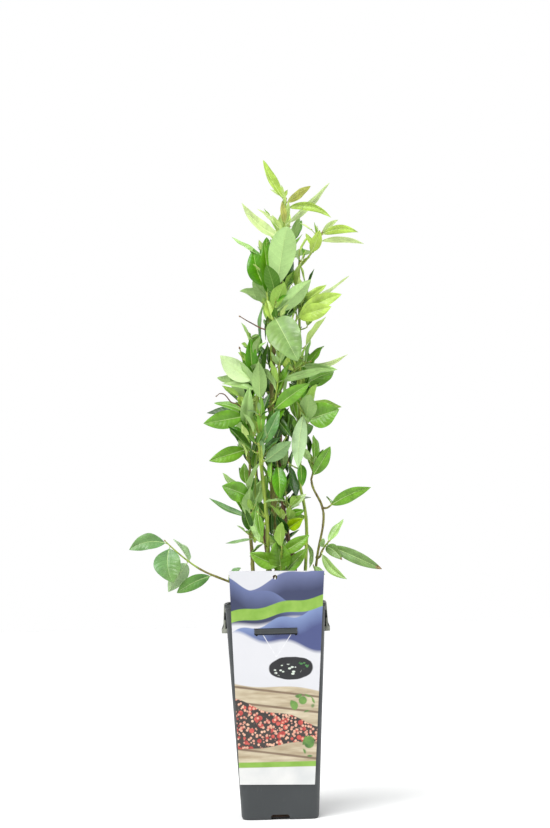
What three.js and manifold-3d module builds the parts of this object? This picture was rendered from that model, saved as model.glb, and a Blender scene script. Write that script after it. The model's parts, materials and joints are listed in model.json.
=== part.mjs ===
// A young highbush blueberry in a tall square container, with its hang card.
// Millimetres, +Z up. The origin is the centre of the pot's flat underside. The card is on -Y.
import * as THREE from 'three';
import { mergeVertices } from 'three/addons/utils/BufferGeometryUtils.js';
import Module from 'manifold-3d';

const wasm = await Module();
wasm.setup();

// ---------------------------------------------------------------- pot
const POT = {
  height: 208,
  baseHalf: 37.5, // half the outer width at the floor
  rimHalf: 48.9, // half the outer width at the rim
  wall: 1.5,
  floor: 2.2,
  baseCorner: 10, // corner radius in plan
  rimCorner: 12,
  edgeRound: 3.5, // how high the rounding of the bottom edge reaches
  rimBand: 4, // height of the thickened rim
  rimProud: 0.7,
};
const DRAIN = { width: 18, height: 5, chamfer: 1.6, depth: 7 };
const HANDLE = {
  width: 41,
  plateTop: 50.4, // outer face of the plate at the rim, from the axis
  plateFoot: 51.7,
  plateThick: 1.6,
  barOut: 53.2, // outer face of the bottom bar
  barTop: 183.9,
  barFoot: 179.5,
  flange: 2.2,
};
const SOIL = { clearance: 0.3, top: 194 };
const GAP = 0.3; // clearance between pieces that touch on the real plant

// ---------------------------------------------------------------- card
const CARD = {
  foot: 34,
  top: 240,
  footHalf: 36.3,
  topHalf: 46,
  thick: 0.7,
  footOut: 40.6, // front face, from the axis
  topOut: 57.2,
  slitHalf: 21.6,
  slitFoot: 178.6,
  slitTop: 184.9,
  holeRadius: 2.2,
  holeBelowTop: 6,
  holeAside: -1.5,
};

// ---------------------------------------------------------------- limbs
const GROUND = SOIL.top + GAP;
const LIMB_SIDES = 6;
const FLARE = { part: 0.03, factor: 1.7 }; // part of the limb that flares, and how much

// Each limb runs through its points. Its radius falls evenly from its foot to its tip.
const LIMBS = [
  {
    name: 'centre_stem', radii: [3.1, 1.5], bark: '#8a6a45', flare: true,
    points: [[2, 5], [4, 5, 250], [0, 3, 320], [1, 7, 411], [9, 7, 500], [19, 4, 569]],
  },
  {
    name: 'left_stem', radii: [2.6, 1.5], bark: '#8fae3c', flare: true,
    points: [[-7, -12], [-6, -12, 281], [-10, -12, 337], [-13, -12, 384], [-13, -12, 417]],
  },
  {
    name: 'right_stem', radii: [2.4, 1.3], bark: '#a5b548', flare: true,
    points: [[27, -7], [33, -6, 282], [27, -6, 332], [29, 0, 389], [31, 4, 470], [32, 0, 543]],
  },
  {
    name: 'woody_stem', radii: [2.6, 1.4], bark: '#6f4a33', flare: true,
    points: [[19, 15], [20, 15, 244], [13, 22, 280], [9, 31, 335], [10, 34, 412], [10, 32, 462]],
  },
  {
    name: 'outer_right_stem', radii: [1.7, 1.1], bark: '#7c6238', flare: true,
    points: [[35, 10], [43, 10, 251], [50, 8, 285], [49, 5, 303], [41, 2, 320], [39, 0, 329]],
  },
  {
    name: 'outer_left_stem', radii: [2.1, 1.3], bark: '#86733f', flare: true,
    points: [[-20, 12], [-22, 14, 250], [-24, 14, 300], [-22, 9, 346]],
  },
  {
    name: 'trailing_branch', radii: [1.8, 1.1], bark: '#6a5433', flare: true,
    points: [[-14, 1], [-19, 0, 212], [-32, -2, 224], [-46, -6, 230], [-60, -10, 236]],
  },
  {
    name: 'back_stem', radii: [2.2, 1.3], bark: '#7d5c3c', flare: true,
    points: [[2, 24], [-6, 27, 250], [-14, 31, 310], [-18, 34, 372]],
  },
];

// Boughs leave the side of a limb, a part `along` it, and bow on their way to their tip.
const BOUGHS = [
  {
    name: 'bough_upper_left', limb: 'centre_stem', along: 0.74, radii: [1.3, 1.0],
    bark: '#9bb24a', to: [0, -2, 512], bow: [-4, -3, 4],
  },
  {
    name: 'bough_upper_front', limb: 'centre_stem', along: 0.66, radii: [1.4, 1.0],
    bark: '#a3b650', to: [4, -20, 482], bow: [-2, -6, -2],
  },
  {
    name: 'bough_upper_right', limb: 'right_stem', along: 0.74, radii: [1.3, 1.0],
    bark: '#a3b650', to: [27, -9, 486], bow: [0, -3, -2],
  },
  {
    name: 'bough_mid_right', limb: 'centre_stem', along: 0.6, radii: [1.3, 1.0],
    bark: '#8f9a4a', to: [15, -8, 430], bow: [3, -3, -3],
  },
  {
    name: 'bough_centre_high', limb: 'left_stem', along: 0.86, radii: [1.3, 1.0],
    bark: '#93a344', to: [5, -17, 408], bow: [0, -2, -4],
  },
  {
    name: 'bough_right', limb: 'right_stem', along: 0.54, radii: [1.3, 1.0],
    bark: '#a3b650', to: [35, -9, 379], bow: [2, -3, -2],
  },
  {
    name: 'bough_centre', limb: 'centre_stem', along: 0.36, radii: [1.5, 1.0],
    bark: '#7d6a3f', to: [7, -14, 331], bow: [2, -4, -4],
  },
  {
    name: 'bough_left_inner', limb: 'left_stem', along: 0.56, radii: [1.3, 1.0],
    bark: '#93a344', to: [-9, -22, 345], bow: [1, -2, -3],
  },
  {
    name: 'bough_left_low', limb: 'left_stem', along: 0.27, radii: [1.4, 1.0],
    bark: '#93a344', to: [-19, -15, 268], bow: [-2, -1, -3],
  },
  {
    name: 'bough_fork', limb: 'woody_stem', along: 0.2, radii: [1.6, 1.1],
    bark: '#6f4a33', to: [14, -3, 270], bow: [2, -2, 0],
  },
  {
    name: 'bough_right_far', limb: 'outer_right_stem', along: 0.57, radii: [1.1, 0.9],
    bark: '#7c6238', to: [55, 1, 301], bow: [0, 0, -1],
  },
  {
    name: 'bough_right_low', limb: 'outer_right_stem', along: 0.2, radii: [1.2, 1.0],
    bark: '#7c6238', to: [47, 1, 256], bow: [1, -2, -2],
  },
  {
    name: 'bough_base', limb: 'centre_stem', along: 0.1, radii: [1.4, 1.0],
    bark: '#8a6a45', to: [5, -15, 226], bow: [1, -3, -2],
  },
  {
    name: 'bough_back_high', limb: 'centre_stem', along: 0.82, radii: [1.3, 1.0],
    bark: '#9bb24a', to: [15, 24, 532], bow: [0, 4, -3],
  },
  {
    name: 'bough_back_right', limb: 'woody_stem', along: 0.62, radii: [1.4, 1.0],
    bark: '#7d5c3c', to: [27, 36, 376], bow: [3, 1, -4],
  },
  {
    name: 'bough_back_low', limb: 'back_stem', along: 0.22, radii: [1.4, 1.0],
    bark: '#7d5c3c', to: [4, 40, 258], bow: [2, 2, -3],
  },
];

// ---------------------------------------------------------------- foliage
// A mass grows on one stem from the tip of its limb to `to`. `reach` is how far it spreads round
// that stem. Its leaders are the leaves that give its outline: how far along the stem each is
// rooted, its heading in plan (0 is +X, 90 is +Y), its lift over the level, its length, its roll
// about the midrib and its breadth as a part of its length. The seeded rule adds `leaves` on the
// stem and `twigs` that branch from it, with leaves of about `length`, of `breadth` and of a lift
// in the range given.
const STEEP = [45, 82]; // lift of the seeded leaves where the shoots are drawn together
const LOOSE = [10, 60];
const MASSES = [
  {
    name: 'top_tuft', limb: 'centre_stem', to: [21, 2, 613], bow: [-2, 0, 0], reach: 62,
    seed: 11, tint: '#b4d148',
    leaders: [
      [0.95, 193, 62, 48, -72, 0.24], [0.95, 17, 35, 33, 120, 0.30],
      [0.39, 353, 42, 63, 145, 0.16], [0.79, 341, -15, 50, 115, 0.20],
      [0.09, 191, 40, 57, -77, 0.22], [0.21, 160, 44, 40, -31, 0.20],
      [0.39, 260, 60, 25, -148, 0.30],
    ],
    leaves: 4, twigs: 0, length: 26, breadth: 0.24, lift: STEEP,
  },
  {
    name: 'upper_left', limb: 'bough_upper_left', to: [-1, -6, 557], bow: [-3, 0, 0], reach: 60,
    seed: 12, tint: '#4f9a22',
    leaders: [
      [0.03, 258, 77, 56, -167, 0.28], [0.21, 190, 74, 43, -100, 0.50],
      [0.91, 163, 34, 42, -31, 0.20],
    ],
    leaves: 6, twigs: 0, length: 38, breadth: 0.36, lift: STEEP,
  },
  {
    name: 'upper_right', limb: 'right_stem', to: [56, -2, 577], bow: [3, 0, -4], reach: 52,
    seed: 13, tint: '#b4cc52',
    leaders: [
      [0.44, 305, 52, 28, 148, 0.42], [0.95, 351, 2, 38, 110, 0.27], [0.79, 6, -3, 47, 130, 0.17],
      [0.95, 25, 42, 28, 102, 0.24], [0.08, 252, -67, 27, -20, 0.36],
    ],
    leaves: 4, twigs: 0, length: 26, breadth: 0.26, lift: STEEP,
  },
  {
    name: 'upper_front', limb: 'bough_upper_front', to: [9, -27, 517], bow: [0, -3, 0], reach: 76,
    seed: 14, tint: '#8fbf70',
    leaders: [
      [0.95, 347, 79, 66, -77, 0.44], [0.29, 316, -57, 58, 51, 0.62],
      [0.28, 349, 40, 50, -83, 0.42],
    ],
    leaves: 4, twigs: 0, length: 34, breadth: 0.48, lift: STEEP,
  },
  {
    name: 'upper_right_low', limb: 'bough_upper_right', to: [36, -9, 508], bow: [0, -2, 0], reach: 56,
    seed: 15, tint: '#93c740',
    leaders: [
      [0.95, 7, 29, 54, 162, 0.20], [0.07, 350, 28, 53, 95, 0.34], [0.02, 333, 14, 40, 97, 0.45],
      [0.02, 303, -81, 43, 33, 0.30],
    ],
    leaves: 6, twigs: 0, length: 32, breadth: 0.38, lift: STEEP,
  },
  {
    name: 'mid_left_high', limb: 'left_stem', to: [-18, -9, 466], bow: [-3, 0, 0], reach: 56,
    seed: 16, tint: '#86bd5c',
    leaders: [
      [0.28, 254, 75, 41, -158, 0.36], [0.20, 202, 36, 45, 77, 0.46],
      [0.02, 164, 14, 37, -46, 0.25],
    ],
    leaves: 6, twigs: 1, length: 36, breadth: 0.45, lift: STEEP,
  },
  {
    name: 'centre_high', limb: 'bough_centre_high', to: [11, -17, 462], bow: [2, -3, 0], reach: 56,
    seed: 36, tint: '#4c8a35',
    leaders: [
      [0.33, 347, 12, 54, 113, 0.15],
    ],
    leaves: 9, twigs: 0, length: 36, breadth: 0.4, lift: STEEP,
  },
  {
    name: 'mid_right', limb: 'bough_mid_right', to: [40, -14, 446], bow: [0, -2, 3], reach: 54,
    seed: 17, tint: '#7cb560',
    leaders: [
      [0.66, 347, -8, 37, 108, 0.27], [0.72, 6, 13, 47, 129, 0.16],
    ],
    leaves: 8, twigs: 0, length: 34, breadth: 0.34, lift: STEEP,
  },
  {
    name: 'right_cluster', limb: 'bough_right', to: [29, -17, 412], bow: [4, -2, 0], reach: 54,
    seed: 18, tint: '#4f9d1f',
    leaders: [
      [0.25, 343, 16, 36, 95, 0.74], [0.55, 246, -71, 61, 155, 0.25],
      [0.03, 288, -78, 31, 19, 0.36],
    ],
    leaves: 9, twigs: 1, length: 36, breadth: 0.5, lift: STEEP,
  },
  {
    name: 'mid_left', limb: 'outer_left_stem', to: [-25, 0, 401], bow: [-3, 0, 0], reach: 58,
    seed: 19, tint: '#6aa545',
    leaders: [
      [0.28, 197, -16, 42, -85, 0.40], [0.88, 188, -9, 43, -89, 0.42],
      [0.68, 281, 58, 46, 167, 0.30], [0.95, 162, 18, 35, -54, 0.28],
      [0.40, 258, 57, 26, -165, 0.36],
    ],
    leaves: 7, twigs: 1, length: 36, breadth: 0.44, lift: STEEP,
  },
  {
    name: 'left_inner', limb: 'bough_left_inner', to: [-10, -26, 396], bow: [0, -2, 0], reach: 44,
    seed: 40, tint: '#5f9a78',
    leaders: [
      [0.02, 344, 34, 36, -81, 0.40], [0.34, 357, 63, 40, 93, 0.36], [0.05, 31, 60, 35, 63, 0.40],
      [0.52, 279, 85, 42, 171, 0.22],
    ],
    leaves: 5, twigs: 0, length: 34, breadth: 0.36, lift: STEEP,
  },
  {
    name: 'centre', limb: 'bough_centre', to: [3, -15, 402], bow: [-2, -2, 0], reach: 54,
    seed: 20, tint: '#3f8a3c',
    leaders: [
      [0.95, 334, 31, 47, 104, 0.36], [0.19, 281, -77, 36, 12, 0.42],
      [0.11, 335, -59, 36, 68, 0.42], [0.95, 329, -51, 31, 65, 0.32],
      [0.50, 334, 68, 24, 134, 0.26],
    ],
    leaves: 10, twigs: 1, length: 36, breadth: 0.44, lift: STEEP,
  },
  {
    name: 'left_low', limb: 'bough_left_low', to: [-23, -12, 320], bow: [-3, -1, 0], reach: 52,
    seed: 43, tint: '#5aa044',
    leaders: [
      [0.87, 204, 21, 31, -99, 0.70], [0.48, 169, 26, 46, -45, 0.20],
      [0.08, 160, -8, 30, -43, 0.20], [0.13, 52, 78, 36, 39, 0.26],
      [0.57, 313, -66, 33, -134, 0.27], [0.08, 180, 71, 28, -90, 0.40],
    ],
    leaves: 6, twigs: 1, length: 34, breadth: 0.46, lift: STEEP,
  },
  {
    name: 'centre_low', limb: 'bough_fork', to: [13, -12, 316], bow: [2, -2, 0], reach: 46,
    seed: 22, tint: '#7cab3c',
    leaders: [
      [0.66, 338, 34, 25, -77, 0.34], [0.22, 317, 25, 23, 111, 0.60],
      [0.09, 227, 49, 25, -129, 0.44], [0.53, 324, 11, 21, 108, 0.42],
      [0.46, 186, 22, 20, -72, 0.42], [0.83, 204, -4, 25, -13, 0.30],
      [0.85, 169, 32, 25, 96, 0.44],
    ],
    leaves: 8, twigs: 1, length: 28, breadth: 0.42, lift: LOOSE,
  },
  {
    name: 'right_side', limb: 'outer_right_stem', to: [42, -3, 350], bow: [2, 0, 0], reach: 48,
    seed: 23, tint: '#5b9a3c',
    leaders: [
      [0.12, 328, 53, 37, 127, 0.40],
    ],
    leaves: 4, twigs: 0, length: 28, breadth: 0.42, lift: STEEP,
  },
  {
    name: 'right_far', limb: 'bough_right_far', to: [62, 0, 307], bow: [0, 0, -1], reach: 46,
    seed: 24, tint: '#5f9d3f',
    leaders: [
      [0.08, 349, 23, 47, 109, 0.28],
    ],
    leaves: 1, twigs: 0, length: 24, breadth: 0.36, lift: LOOSE,
  },
  {
    name: 'right_low', limb: 'bough_right_low', to: [55, -4, 267], bow: [0, 0, 2], reach: 60,
    seed: 25, tint: '#6fa552',
    leaders: [
      [0.47, 315, -31, 27, 73, 0.44], [0.67, 347, -25, 61, 85, 0.22],
      [0.02, 330, -44, 39, 88, 0.26],
    ],
    leaves: 4, twigs: 0, length: 28, breadth: 0.36, lift: LOOSE,
  },
  {
    name: 'base', limb: 'bough_base', to: [8, -22, 264], bow: [1, -2, 0], reach: 48,
    seed: 26, tint: '#4f9422',
    leaders: [
      [0.26, 257, 70, 36, -166, 0.62], [0.81, 344, 31, 33, 99, 0.40],
      [0.47, 187, 24, 34, -93, 0.50], [0.21, 4, 45, 38, 87, 0.36],
    ],
    leaves: 8, twigs: 1, length: 32, breadth: 0.5, lift: STEEP,
  },
  {
    name: 'trailing_left', limb: 'trailing_branch', to: [-107, -14, 271], bow: [2, 0, -9], reach: 60,
    seed: 27, tint: '#56955f',
    leaders: [
      [0.02, 193, -24, 40, -85, 0.38], [0.95, 189, -7, 39, -74, 0.42],
      [0.95, 283, -71, 38, 14, 0.80], [0.55, 164, -54, 37, 77, 0.50], [0.02, 20, 5, 18, 88, 0.50],
    ],
    leaves: 1, twigs: 0, length: 32, breadth: 0.5, lift: LOOSE,
  },
  {
    name: 'back_high', limb: 'bough_back_high', to: [17, 32, 580], bow: [0, 4, 0], reach: 58,
    seed: 31, tint: '#8dba48',
    leaders: [[1, 80, 62, 44, 0, 0.3], [0.5, 120, 25, 46, 30, 0.36], [0.4, 40, 20, 46, -30, 0.34]],
    leaves: 11, twigs: 1, length: 40, breadth: 0.34, lift: STEEP,
  },
  {
    name: 'back_mid', limb: 'woody_stem', to: [8, 34, 520], bow: [0, 5, 0], reach: 60,
    seed: 32, tint: '#5a9a35',
    leaders: [[0.8, 150, 25, 48, 40, 0.45], [0.6, 60, 20, 48, -20, 0.4], [0.2, 95, -5, 44, 0, 0.45]],
    leaves: 16, twigs: 2, length: 46, breadth: 0.45, lift: STEEP,
  },
  {
    name: 'back_left', limb: 'back_stem', to: [-20, 38, 436], bow: [-3, 2, 0], reach: 60,
    seed: 33, tint: '#4f8f35',
    leaders: [[0.8, 140, 20, 48, 40, 0.45], [0.4, 170, 5, 46, -40, 0.4], [0.2, 110, -15, 42, 0, 0.5]],
    leaves: 15, twigs: 2, length: 44, breadth: 0.45, lift: STEEP,
  },
  {
    name: 'back_right', limb: 'bough_back_right', to: [33, 38, 438], bow: [3, 2, 0], reach: 60,
    seed: 34, tint: '#55933a',
    leaders: [[0.8, 40, 22, 48, 50, 0.45], [0.4, 15, 5, 44, -40, 0.4], [0.2, 80, -15, 42, 0, 0.5]],
    leaves: 15, twigs: 2, length: 44, breadth: 0.45, lift: STEEP,
  },
  {
    name: 'back_low', limb: 'bough_back_low', to: [6, 44, 312], bow: [1, 3, 0], reach: 58,
    seed: 35, tint: '#4f8f35',
    leaders: [[0.8, 120, 20, 44, 30, 0.45], [0.5, 50, 10, 46, -30, 0.4], [0.2, 90, -25, 38, 0, 0.5]],
    leaves: 12, twigs: 2, length: 42, breadth: 0.45, lift: LOOSE,
  },
];

const TWIG_SIDES = 3;
const STEM = { radii: [1.3, 0.9], steps: 3, samples: 12 };
const TWIG = { radii: [1.0, 0.7], steps: 2, bow: [0, 0, -2], samples: [0.4, 0.6, 0.8, 1] };
const LEAF = {
  petiole: 0.08, // part of the length that is stalk
  stalkHalf: 0.8,
  thick: 1.1, // at the midrib
  stations: [0.08, 0.36, 0.7],
  widest: 0.86, // exponent that sets how near the root the blade is widest
  fullness: 0.85, // exponent that rounds the blade's outline
};
// Ranges that the seeded rule draws from. Angles are in degrees, lengths parts of the mass's own.
const RULE = {
  goldenAngle: 137.5, // between one leaf or twig and the next
  turn: [-20, 20], // off that spiral
  breadth: [0.92, 1.08],
  fold: [8, 28],
  bow: [-0.03, 0.09],
  leafPlace: [0.3, 0.7], // in its share of the stem
  leafLength: [0.7, 1.05],
  leafRoll: [-60, 60],
  twigPlace: [0.4, 0.8],
  twigShares: 0.2, // of the stem left free over the last twig
  twigAside: 70, // of the first twig from the first leaf
  twigLift: [30, 65],
  twigLength: [0.4, 0.6],
  twigLeaves: [[1, 0], [0.85, 75], [0.6, -80]], // part of the twig, and the turn off it
  twigLeafTurn: [-15, 15],
  twigLeafLength: [0.6, 0.9],
  twigLeafRoll: [-50, 50],
};
const ROOT = {
  limit: 0.95, // keeps the root of an end leaf inside its twig
  space: 1.6, // least distance between roots
  step: 0.02, // part of the twig that a root moves on from a taken place
};
// Test points on a blade: steps along it, the first of them past the stalk, and steps to each side.
const SAMPLES = { along: 16, first: 2, across: 4 };
const CLEAR = { limb: 1.9, space: 3.2, leaf: 1.8, pot: 2 };

// ---------------------------------------------------------------- helpers
const vec = (p) => new THREE.Vector3(p[0], p[1], p[2]);
const radians = THREE.MathUtils.degToRad;
const UP = new THREE.Vector3(0, 0, 1);

// A small seeded generator (mulberry32): the same numbers for the same seed.
function seeded(seed) {
  let state = seed >>> 0;
  return () => {
    state = (state + 0x6d2b79f5) >>> 0;
    let t = state;
    t = Math.imul(t ^ (t >>> 15), t | 1);
    t ^= t + Math.imul(t ^ (t >>> 7), t | 61);
    return ((t ^ (t >>> 14)) >>> 0) / 4294967296;
  };
}

function between(random, [low, high]) {
  return low + (high - low) * random();
}

// The direction with a heading in plan and a lift over the level, in degrees.
function heading(turn, lift) {
  const flat = Math.cos(radians(lift));
  return new THREE.Vector3(
    Math.cos(radians(turn)) * flat,
    Math.sin(radians(turn)) * flat,
    Math.sin(radians(lift)),
  );
}

function meshOf(name, geometry, material) {
  const mesh = new THREE.Mesh(geometry, material);
  mesh.name = name;
  return mesh;
}

function finish(colour, roughness = 0.6) {
  return new THREE.MeshStandardMaterial({ color: colour, roughness, metalness: 0 });
}

function geometryFrom(points, triangles) {
  const geometry = new THREE.BufferGeometry();
  const numbers = points.flatMap((p) => p.toArray());
  geometry.setAttribute('position', new THREE.Float32BufferAttribute(numbers, 3));
  geometry.setIndex(triangles.flat());
  return geometry;
}

// A closed skin over rings of equal count, with a flat or pointed cap at each end.
function skin(rings) {
  const count = rings[0].length;
  const points = rings.flat();
  const triangles = [];
  for (let r = 0; r + 1 < rings.length; r += 1) {
    for (let i = 0; i < count; i += 1) {
      const a = r * count + i;
      const b = r * count + ((i + 1) % count);
      triangles.push([a, b, b + count], [a, b + count, a + count]);
    }
  }
  const last = (rings.length - 1) * count;
  for (let i = 1; i + 1 < count; i += 1) {
    triangles.push([0, i + 1, i], [last, last + i, last + i + 1]);
  }
  return geometryFrom(points, triangles);
}

// ---------------------------------------------------------------- joining and cutting
function solidFrom(geometry) {
  const bare = geometry.clone();
  bare.deleteAttribute('normal');
  bare.deleteAttribute('uv');
  const welded = mergeVertices(bare, 1e-4);
  return new wasm.Manifold(
    new wasm.Mesh({
      numProp: 3,
      vertProperties: new Float32Array(welded.attributes.position.array),
      triVerts: new Uint32Array(welded.index.array),
    }),
  );
}

function geometryOf(solid) {
  const { vertProperties, triVerts, numProp } = solid.getMesh();
  const geometry = new THREE.BufferGeometry();
  const positions = new Float32Array((vertProperties.length / numProp) * 3);
  for (let i = 0; i < positions.length / 3; i += 1) {
    positions.set(vertProperties.subarray(i * numProp, i * numProp + 3), i * 3);
  }
  geometry.setAttribute('position', new THREE.BufferAttribute(positions, 3));
  geometry.setIndex(new THREE.BufferAttribute(new Uint32Array(triVerts), 1));
  return geometry;
}

// All pieces in one body. A sealed hollow is filled and a loose scrap dropped.
function fused(geometries) {
  const joined = geometries.map(solidFrom).reduce((a, b) => a.add(b));
  const bodies = joined.decompose();
  return bodies.reduce((a, b) => (b.volume() > a.volume() ? b : a));
}

// ---------------------------------------------------------------- pot, soil and card
// A square ring with round corners, anticlockwise from above.
function squareRing(half, corner, z, perCorner = 4) {
  const ring = [];
  for (let quarter = 0; quarter < 4; quarter += 1) {
    for (let i = 0; i <= perCorner; i += 1) {
      const angle = radians(90 * (quarter + i / perCorner));
      const centre = radians(90 * quarter + 45);
      const inset = (half - corner) * Math.SQRT2;
      ring.push(new THREE.Vector3(
        Math.cos(centre) * inset + Math.cos(angle) * corner,
        Math.sin(centre) * inset + Math.sin(angle) * corner,
        z,
      ));
    }
  }
  return ring;
}

function wallHalf(z) {
  return POT.baseHalf + ((POT.rimHalf - POT.baseHalf) * z) / POT.height;
}

function wallCorner(z) {
  return POT.baseCorner + ((POT.rimCorner - POT.baseCorner) * z) / POT.height;
}

function innerRing(z, clearance = 0) {
  const inset = POT.wall + clearance;
  return squareRing(wallHalf(z) - inset, wallCorner(z) - inset, z);
}

function potShell() {
  const outer = [[0, POT.edgeRound * 0.6], [POT.edgeRound * 0.3, POT.edgeRound * 0.18], [POT.edgeRound, 0]];
  const rings = outer.map(([z, inset]) => squareRing(wallHalf(z) - inset, wallCorner(z) - inset, z));
  const bandFoot = POT.height - POT.rimBand;
  rings.push(squareRing(wallHalf(bandFoot), wallCorner(bandFoot), bandFoot));
  for (const z of [bandFoot + POT.rimProud, POT.height]) {
    rings.push(squareRing(wallHalf(z) + POT.rimProud, wallCorner(z) + POT.rimProud, z));
  }
  rings.push(innerRing(POT.height), innerRing(POT.floor));
  return skin(rings);
}

// The notch through the foot of the wall that lets water out, on the -Y side.
function drainNotch() {
  const half = DRAIN.width / 2;
  const outline = new THREE.Shape([
    new THREE.Vector2(-half, -1),
    new THREE.Vector2(half, -1),
    new THREE.Vector2(half, DRAIN.height - DRAIN.chamfer),
    new THREE.Vector2(half - DRAIN.chamfer, DRAIN.height),
    new THREE.Vector2(-half + DRAIN.chamfer, DRAIN.height),
    new THREE.Vector2(-half, DRAIN.height - DRAIN.chamfer),
  ]);
  const notch = new THREE.ExtrudeGeometry(outline, { depth: DRAIN.depth + 2, bevelEnabled: false });
  notch.rotateX(Math.PI / 2);
  return notch.translate(0, -wallHalf(0) + DRAIN.depth, 0);
}

// The loop on the -Y side: a plate that leaves the rim and a bar that closes it to the wall.
function handleLoop() {
  const root = 0.6; // how deep the handle is rooted in the wall
  const inWall = (z) => wallHalf(z) - root;
  const outline = new THREE.Shape([
    new THREE.Vector2(inWall(POT.height), POT.height),
    new THREE.Vector2(inWall(HANDLE.barFoot), HANDLE.barFoot),
    new THREE.Vector2(HANDLE.barOut, HANDLE.barFoot),
    new THREE.Vector2(HANDLE.barOut, HANDLE.barTop),
    new THREE.Vector2(HANDLE.plateFoot, HANDLE.barTop + 0.5),
    new THREE.Vector2(HANDLE.plateTop, POT.height),
  ]);
  const slot = [
    new THREE.Vector2(wallHalf(HANDLE.barTop), HANDLE.barTop),
    new THREE.Vector2(HANDLE.plateFoot - HANDLE.plateThick, HANDLE.barTop),
    new THREE.Vector2(wallHalf(POT.height) + 0.9, POT.height - POT.rimBand - HANDLE.flange),
    new THREE.Vector2(wallHalf(POT.height) - 0.3, POT.height - POT.rimBand - HANDLE.flange),
  ];
  outline.holes.push(new THREE.Path(slot));
  const loop = new THREE.ExtrudeGeometry(outline, { depth: HANDLE.width, bevelEnabled: false });
  // The outline's X runs out from the axis, and its Y up.
  loop.rotateX(Math.PI / 2);
  loop.translate(0, HANDLE.width / 2, 0);
  return loop.rotateZ(-Math.PI / 2);
}

function pot() {
  let body = solidFrom(potShell());
  for (let side = 0; side < 4; side += 1) {
    const turn = (side * Math.PI) / 2;
    body = body.add(solidFrom(handleLoop().rotateZ(turn)));
    body = body.subtract(solidFrom(drainNotch().rotateZ(turn)));
  }
  return meshOf('pot', geometryOf(body), finish('#53565a', 0.5));
}

function soil() {
  const foot = POT.floor + SOIL.clearance;
  const rings = [foot, SOIL.top].map((z) => innerRing(z, SOIL.clearance));
  return meshOf('soil', skin(rings), finish('#3b2a1e', 0.95));
}

function card() {
  const slant = Math.atan2(CARD.topOut - CARD.footOut, CARD.top - CARD.foot);
  const stretch = 1 / Math.cos(slant);
  const height = (CARD.top - CARD.foot) * stretch;
  const outline = new THREE.Shape([
    new THREE.Vector2(-CARD.footHalf, 0),
    new THREE.Vector2(CARD.footHalf, 0),
    new THREE.Vector2(CARD.topHalf, height),
    new THREE.Vector2(-CARD.topHalf, height),
  ]);
  const slitFoot = (CARD.slitFoot - CARD.foot) * stretch;
  const slitTop = (CARD.slitTop - CARD.foot) * stretch;
  outline.holes.push(new THREE.Path([
    new THREE.Vector2(-CARD.slitHalf, slitFoot),
    new THREE.Vector2(-CARD.slitHalf, slitTop),
    new THREE.Vector2(CARD.slitHalf, slitTop),
    new THREE.Vector2(CARD.slitHalf, slitFoot),
  ]));
  const hole = new THREE.Path();
  hole.absarc(CARD.holeAside, height - CARD.holeBelowTop, CARD.holeRadius, 0, Math.PI * 2, true);
  outline.holes.push(hole);
  const options = { depth: CARD.thick, bevelEnabled: false, curveSegments: 8 };
  const plate = new THREE.ExtrudeGeometry(outline, options);
  const mesh = meshOf('label_card', plate, finish('#d8dce6', 0.35));
  mesh.rotation.x = Math.PI / 2 + slant;
  mesh.position.set(0, -CARD.footOut + CARD.thick, CARD.foot);
  return mesh;
}

// ---------------------------------------------------------------- limbs
function ringAround(centre, along, side, radius, sides) {
  const other = new THREE.Vector3().crossVectors(along, side);
  const ring = [];
  for (let k = 0; k < sides; k += 1) {
    const angle = (2 * Math.PI * k) / sides;
    ring.push(centre.clone()
      .addScaledVector(side, radius * Math.cos(angle))
      .addScaledVector(other, radius * Math.sin(angle)));
  }
  return ring;
}

// Rings of a round limb along a curve. Its radius goes evenly from radii[0] to radii[1].
// `foot` is the direction that its first ring faces. A limb with a flare stands on the ground.
function limbRings({ curve, radii, steps, flare = false, foot = null }, sides) {
  const parts = Array.from({ length: steps + 1 }, (_, i) => i / steps);
  if (flare) {
    parts.splice(1, 0, FLARE.part);
  }
  let side = new THREE.Vector3(1, 0, 0);
  return parts.map((t) => {
    const along = t === 0 && foot ? foot : curve.getTangent(t);
    side = side.clone().addScaledVector(along, -side.dot(along)).normalize();
    const widening = flare ? (FLARE.factor - 1) * Math.max(0, 1 - t / FLARE.part) : 0;
    const radius = (radii[0] + (radii[1] - radii[0]) * t) * (1 + widening);
    return ringAround(curve.getPoint(t), along, side, radius, sides);
  });
}

function bowed(from, to, bow) {
  const middle = from.clone().add(to).multiplyScalar(0.5).add(vec(bow));
  return new THREE.QuadraticBezierCurve3(from, middle, to);
}

// Every limb's curve and radii by name.
const limbs = new Map();
const LIMB_STEPS = 12;
const BOUGH_STEPS = 5;
for (const limb of LIMBS) {
  const points = limb.points.map((p) => new THREE.Vector3(p[0], p[1], p[2] ?? GROUND));
  const curve = new THREE.CatmullRomCurve3(points, false, 'catmullrom', 0.5);
  limbs.set(limb.name, { ...limb, curve, steps: LIMB_STEPS, foot: UP });
}
for (const bough of BOUGHS) {
  const parent = limbs.get(bough.limb);
  const axis = parent.curve.getPoint(bough.along);
  const target = vec(bough.to);
  const away = target.clone().add(vec(bough.bow)).sub(axis);
  const along = parent.curve.getTangent(bough.along);
  const aside = away.clone().addScaledVector(along, -away.dot(along)).normalize();
  const parentRadius = parent.radii[0] + (parent.radii[1] - parent.radii[0]) * bough.along;
  const start = axis.clone().addScaledVector(aside, parentRadius + GAP);
  limbs.set(bough.name, { ...bough, curve: bowed(start, target, bough.bow), steps: BOUGH_STEPS, foot: aside });
}

function limbMesh(limb) {
  return meshOf(limb.name, skin(limbRings(limb, LIMB_SIDES)), finish(limb.bark, 0.7));
}

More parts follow.
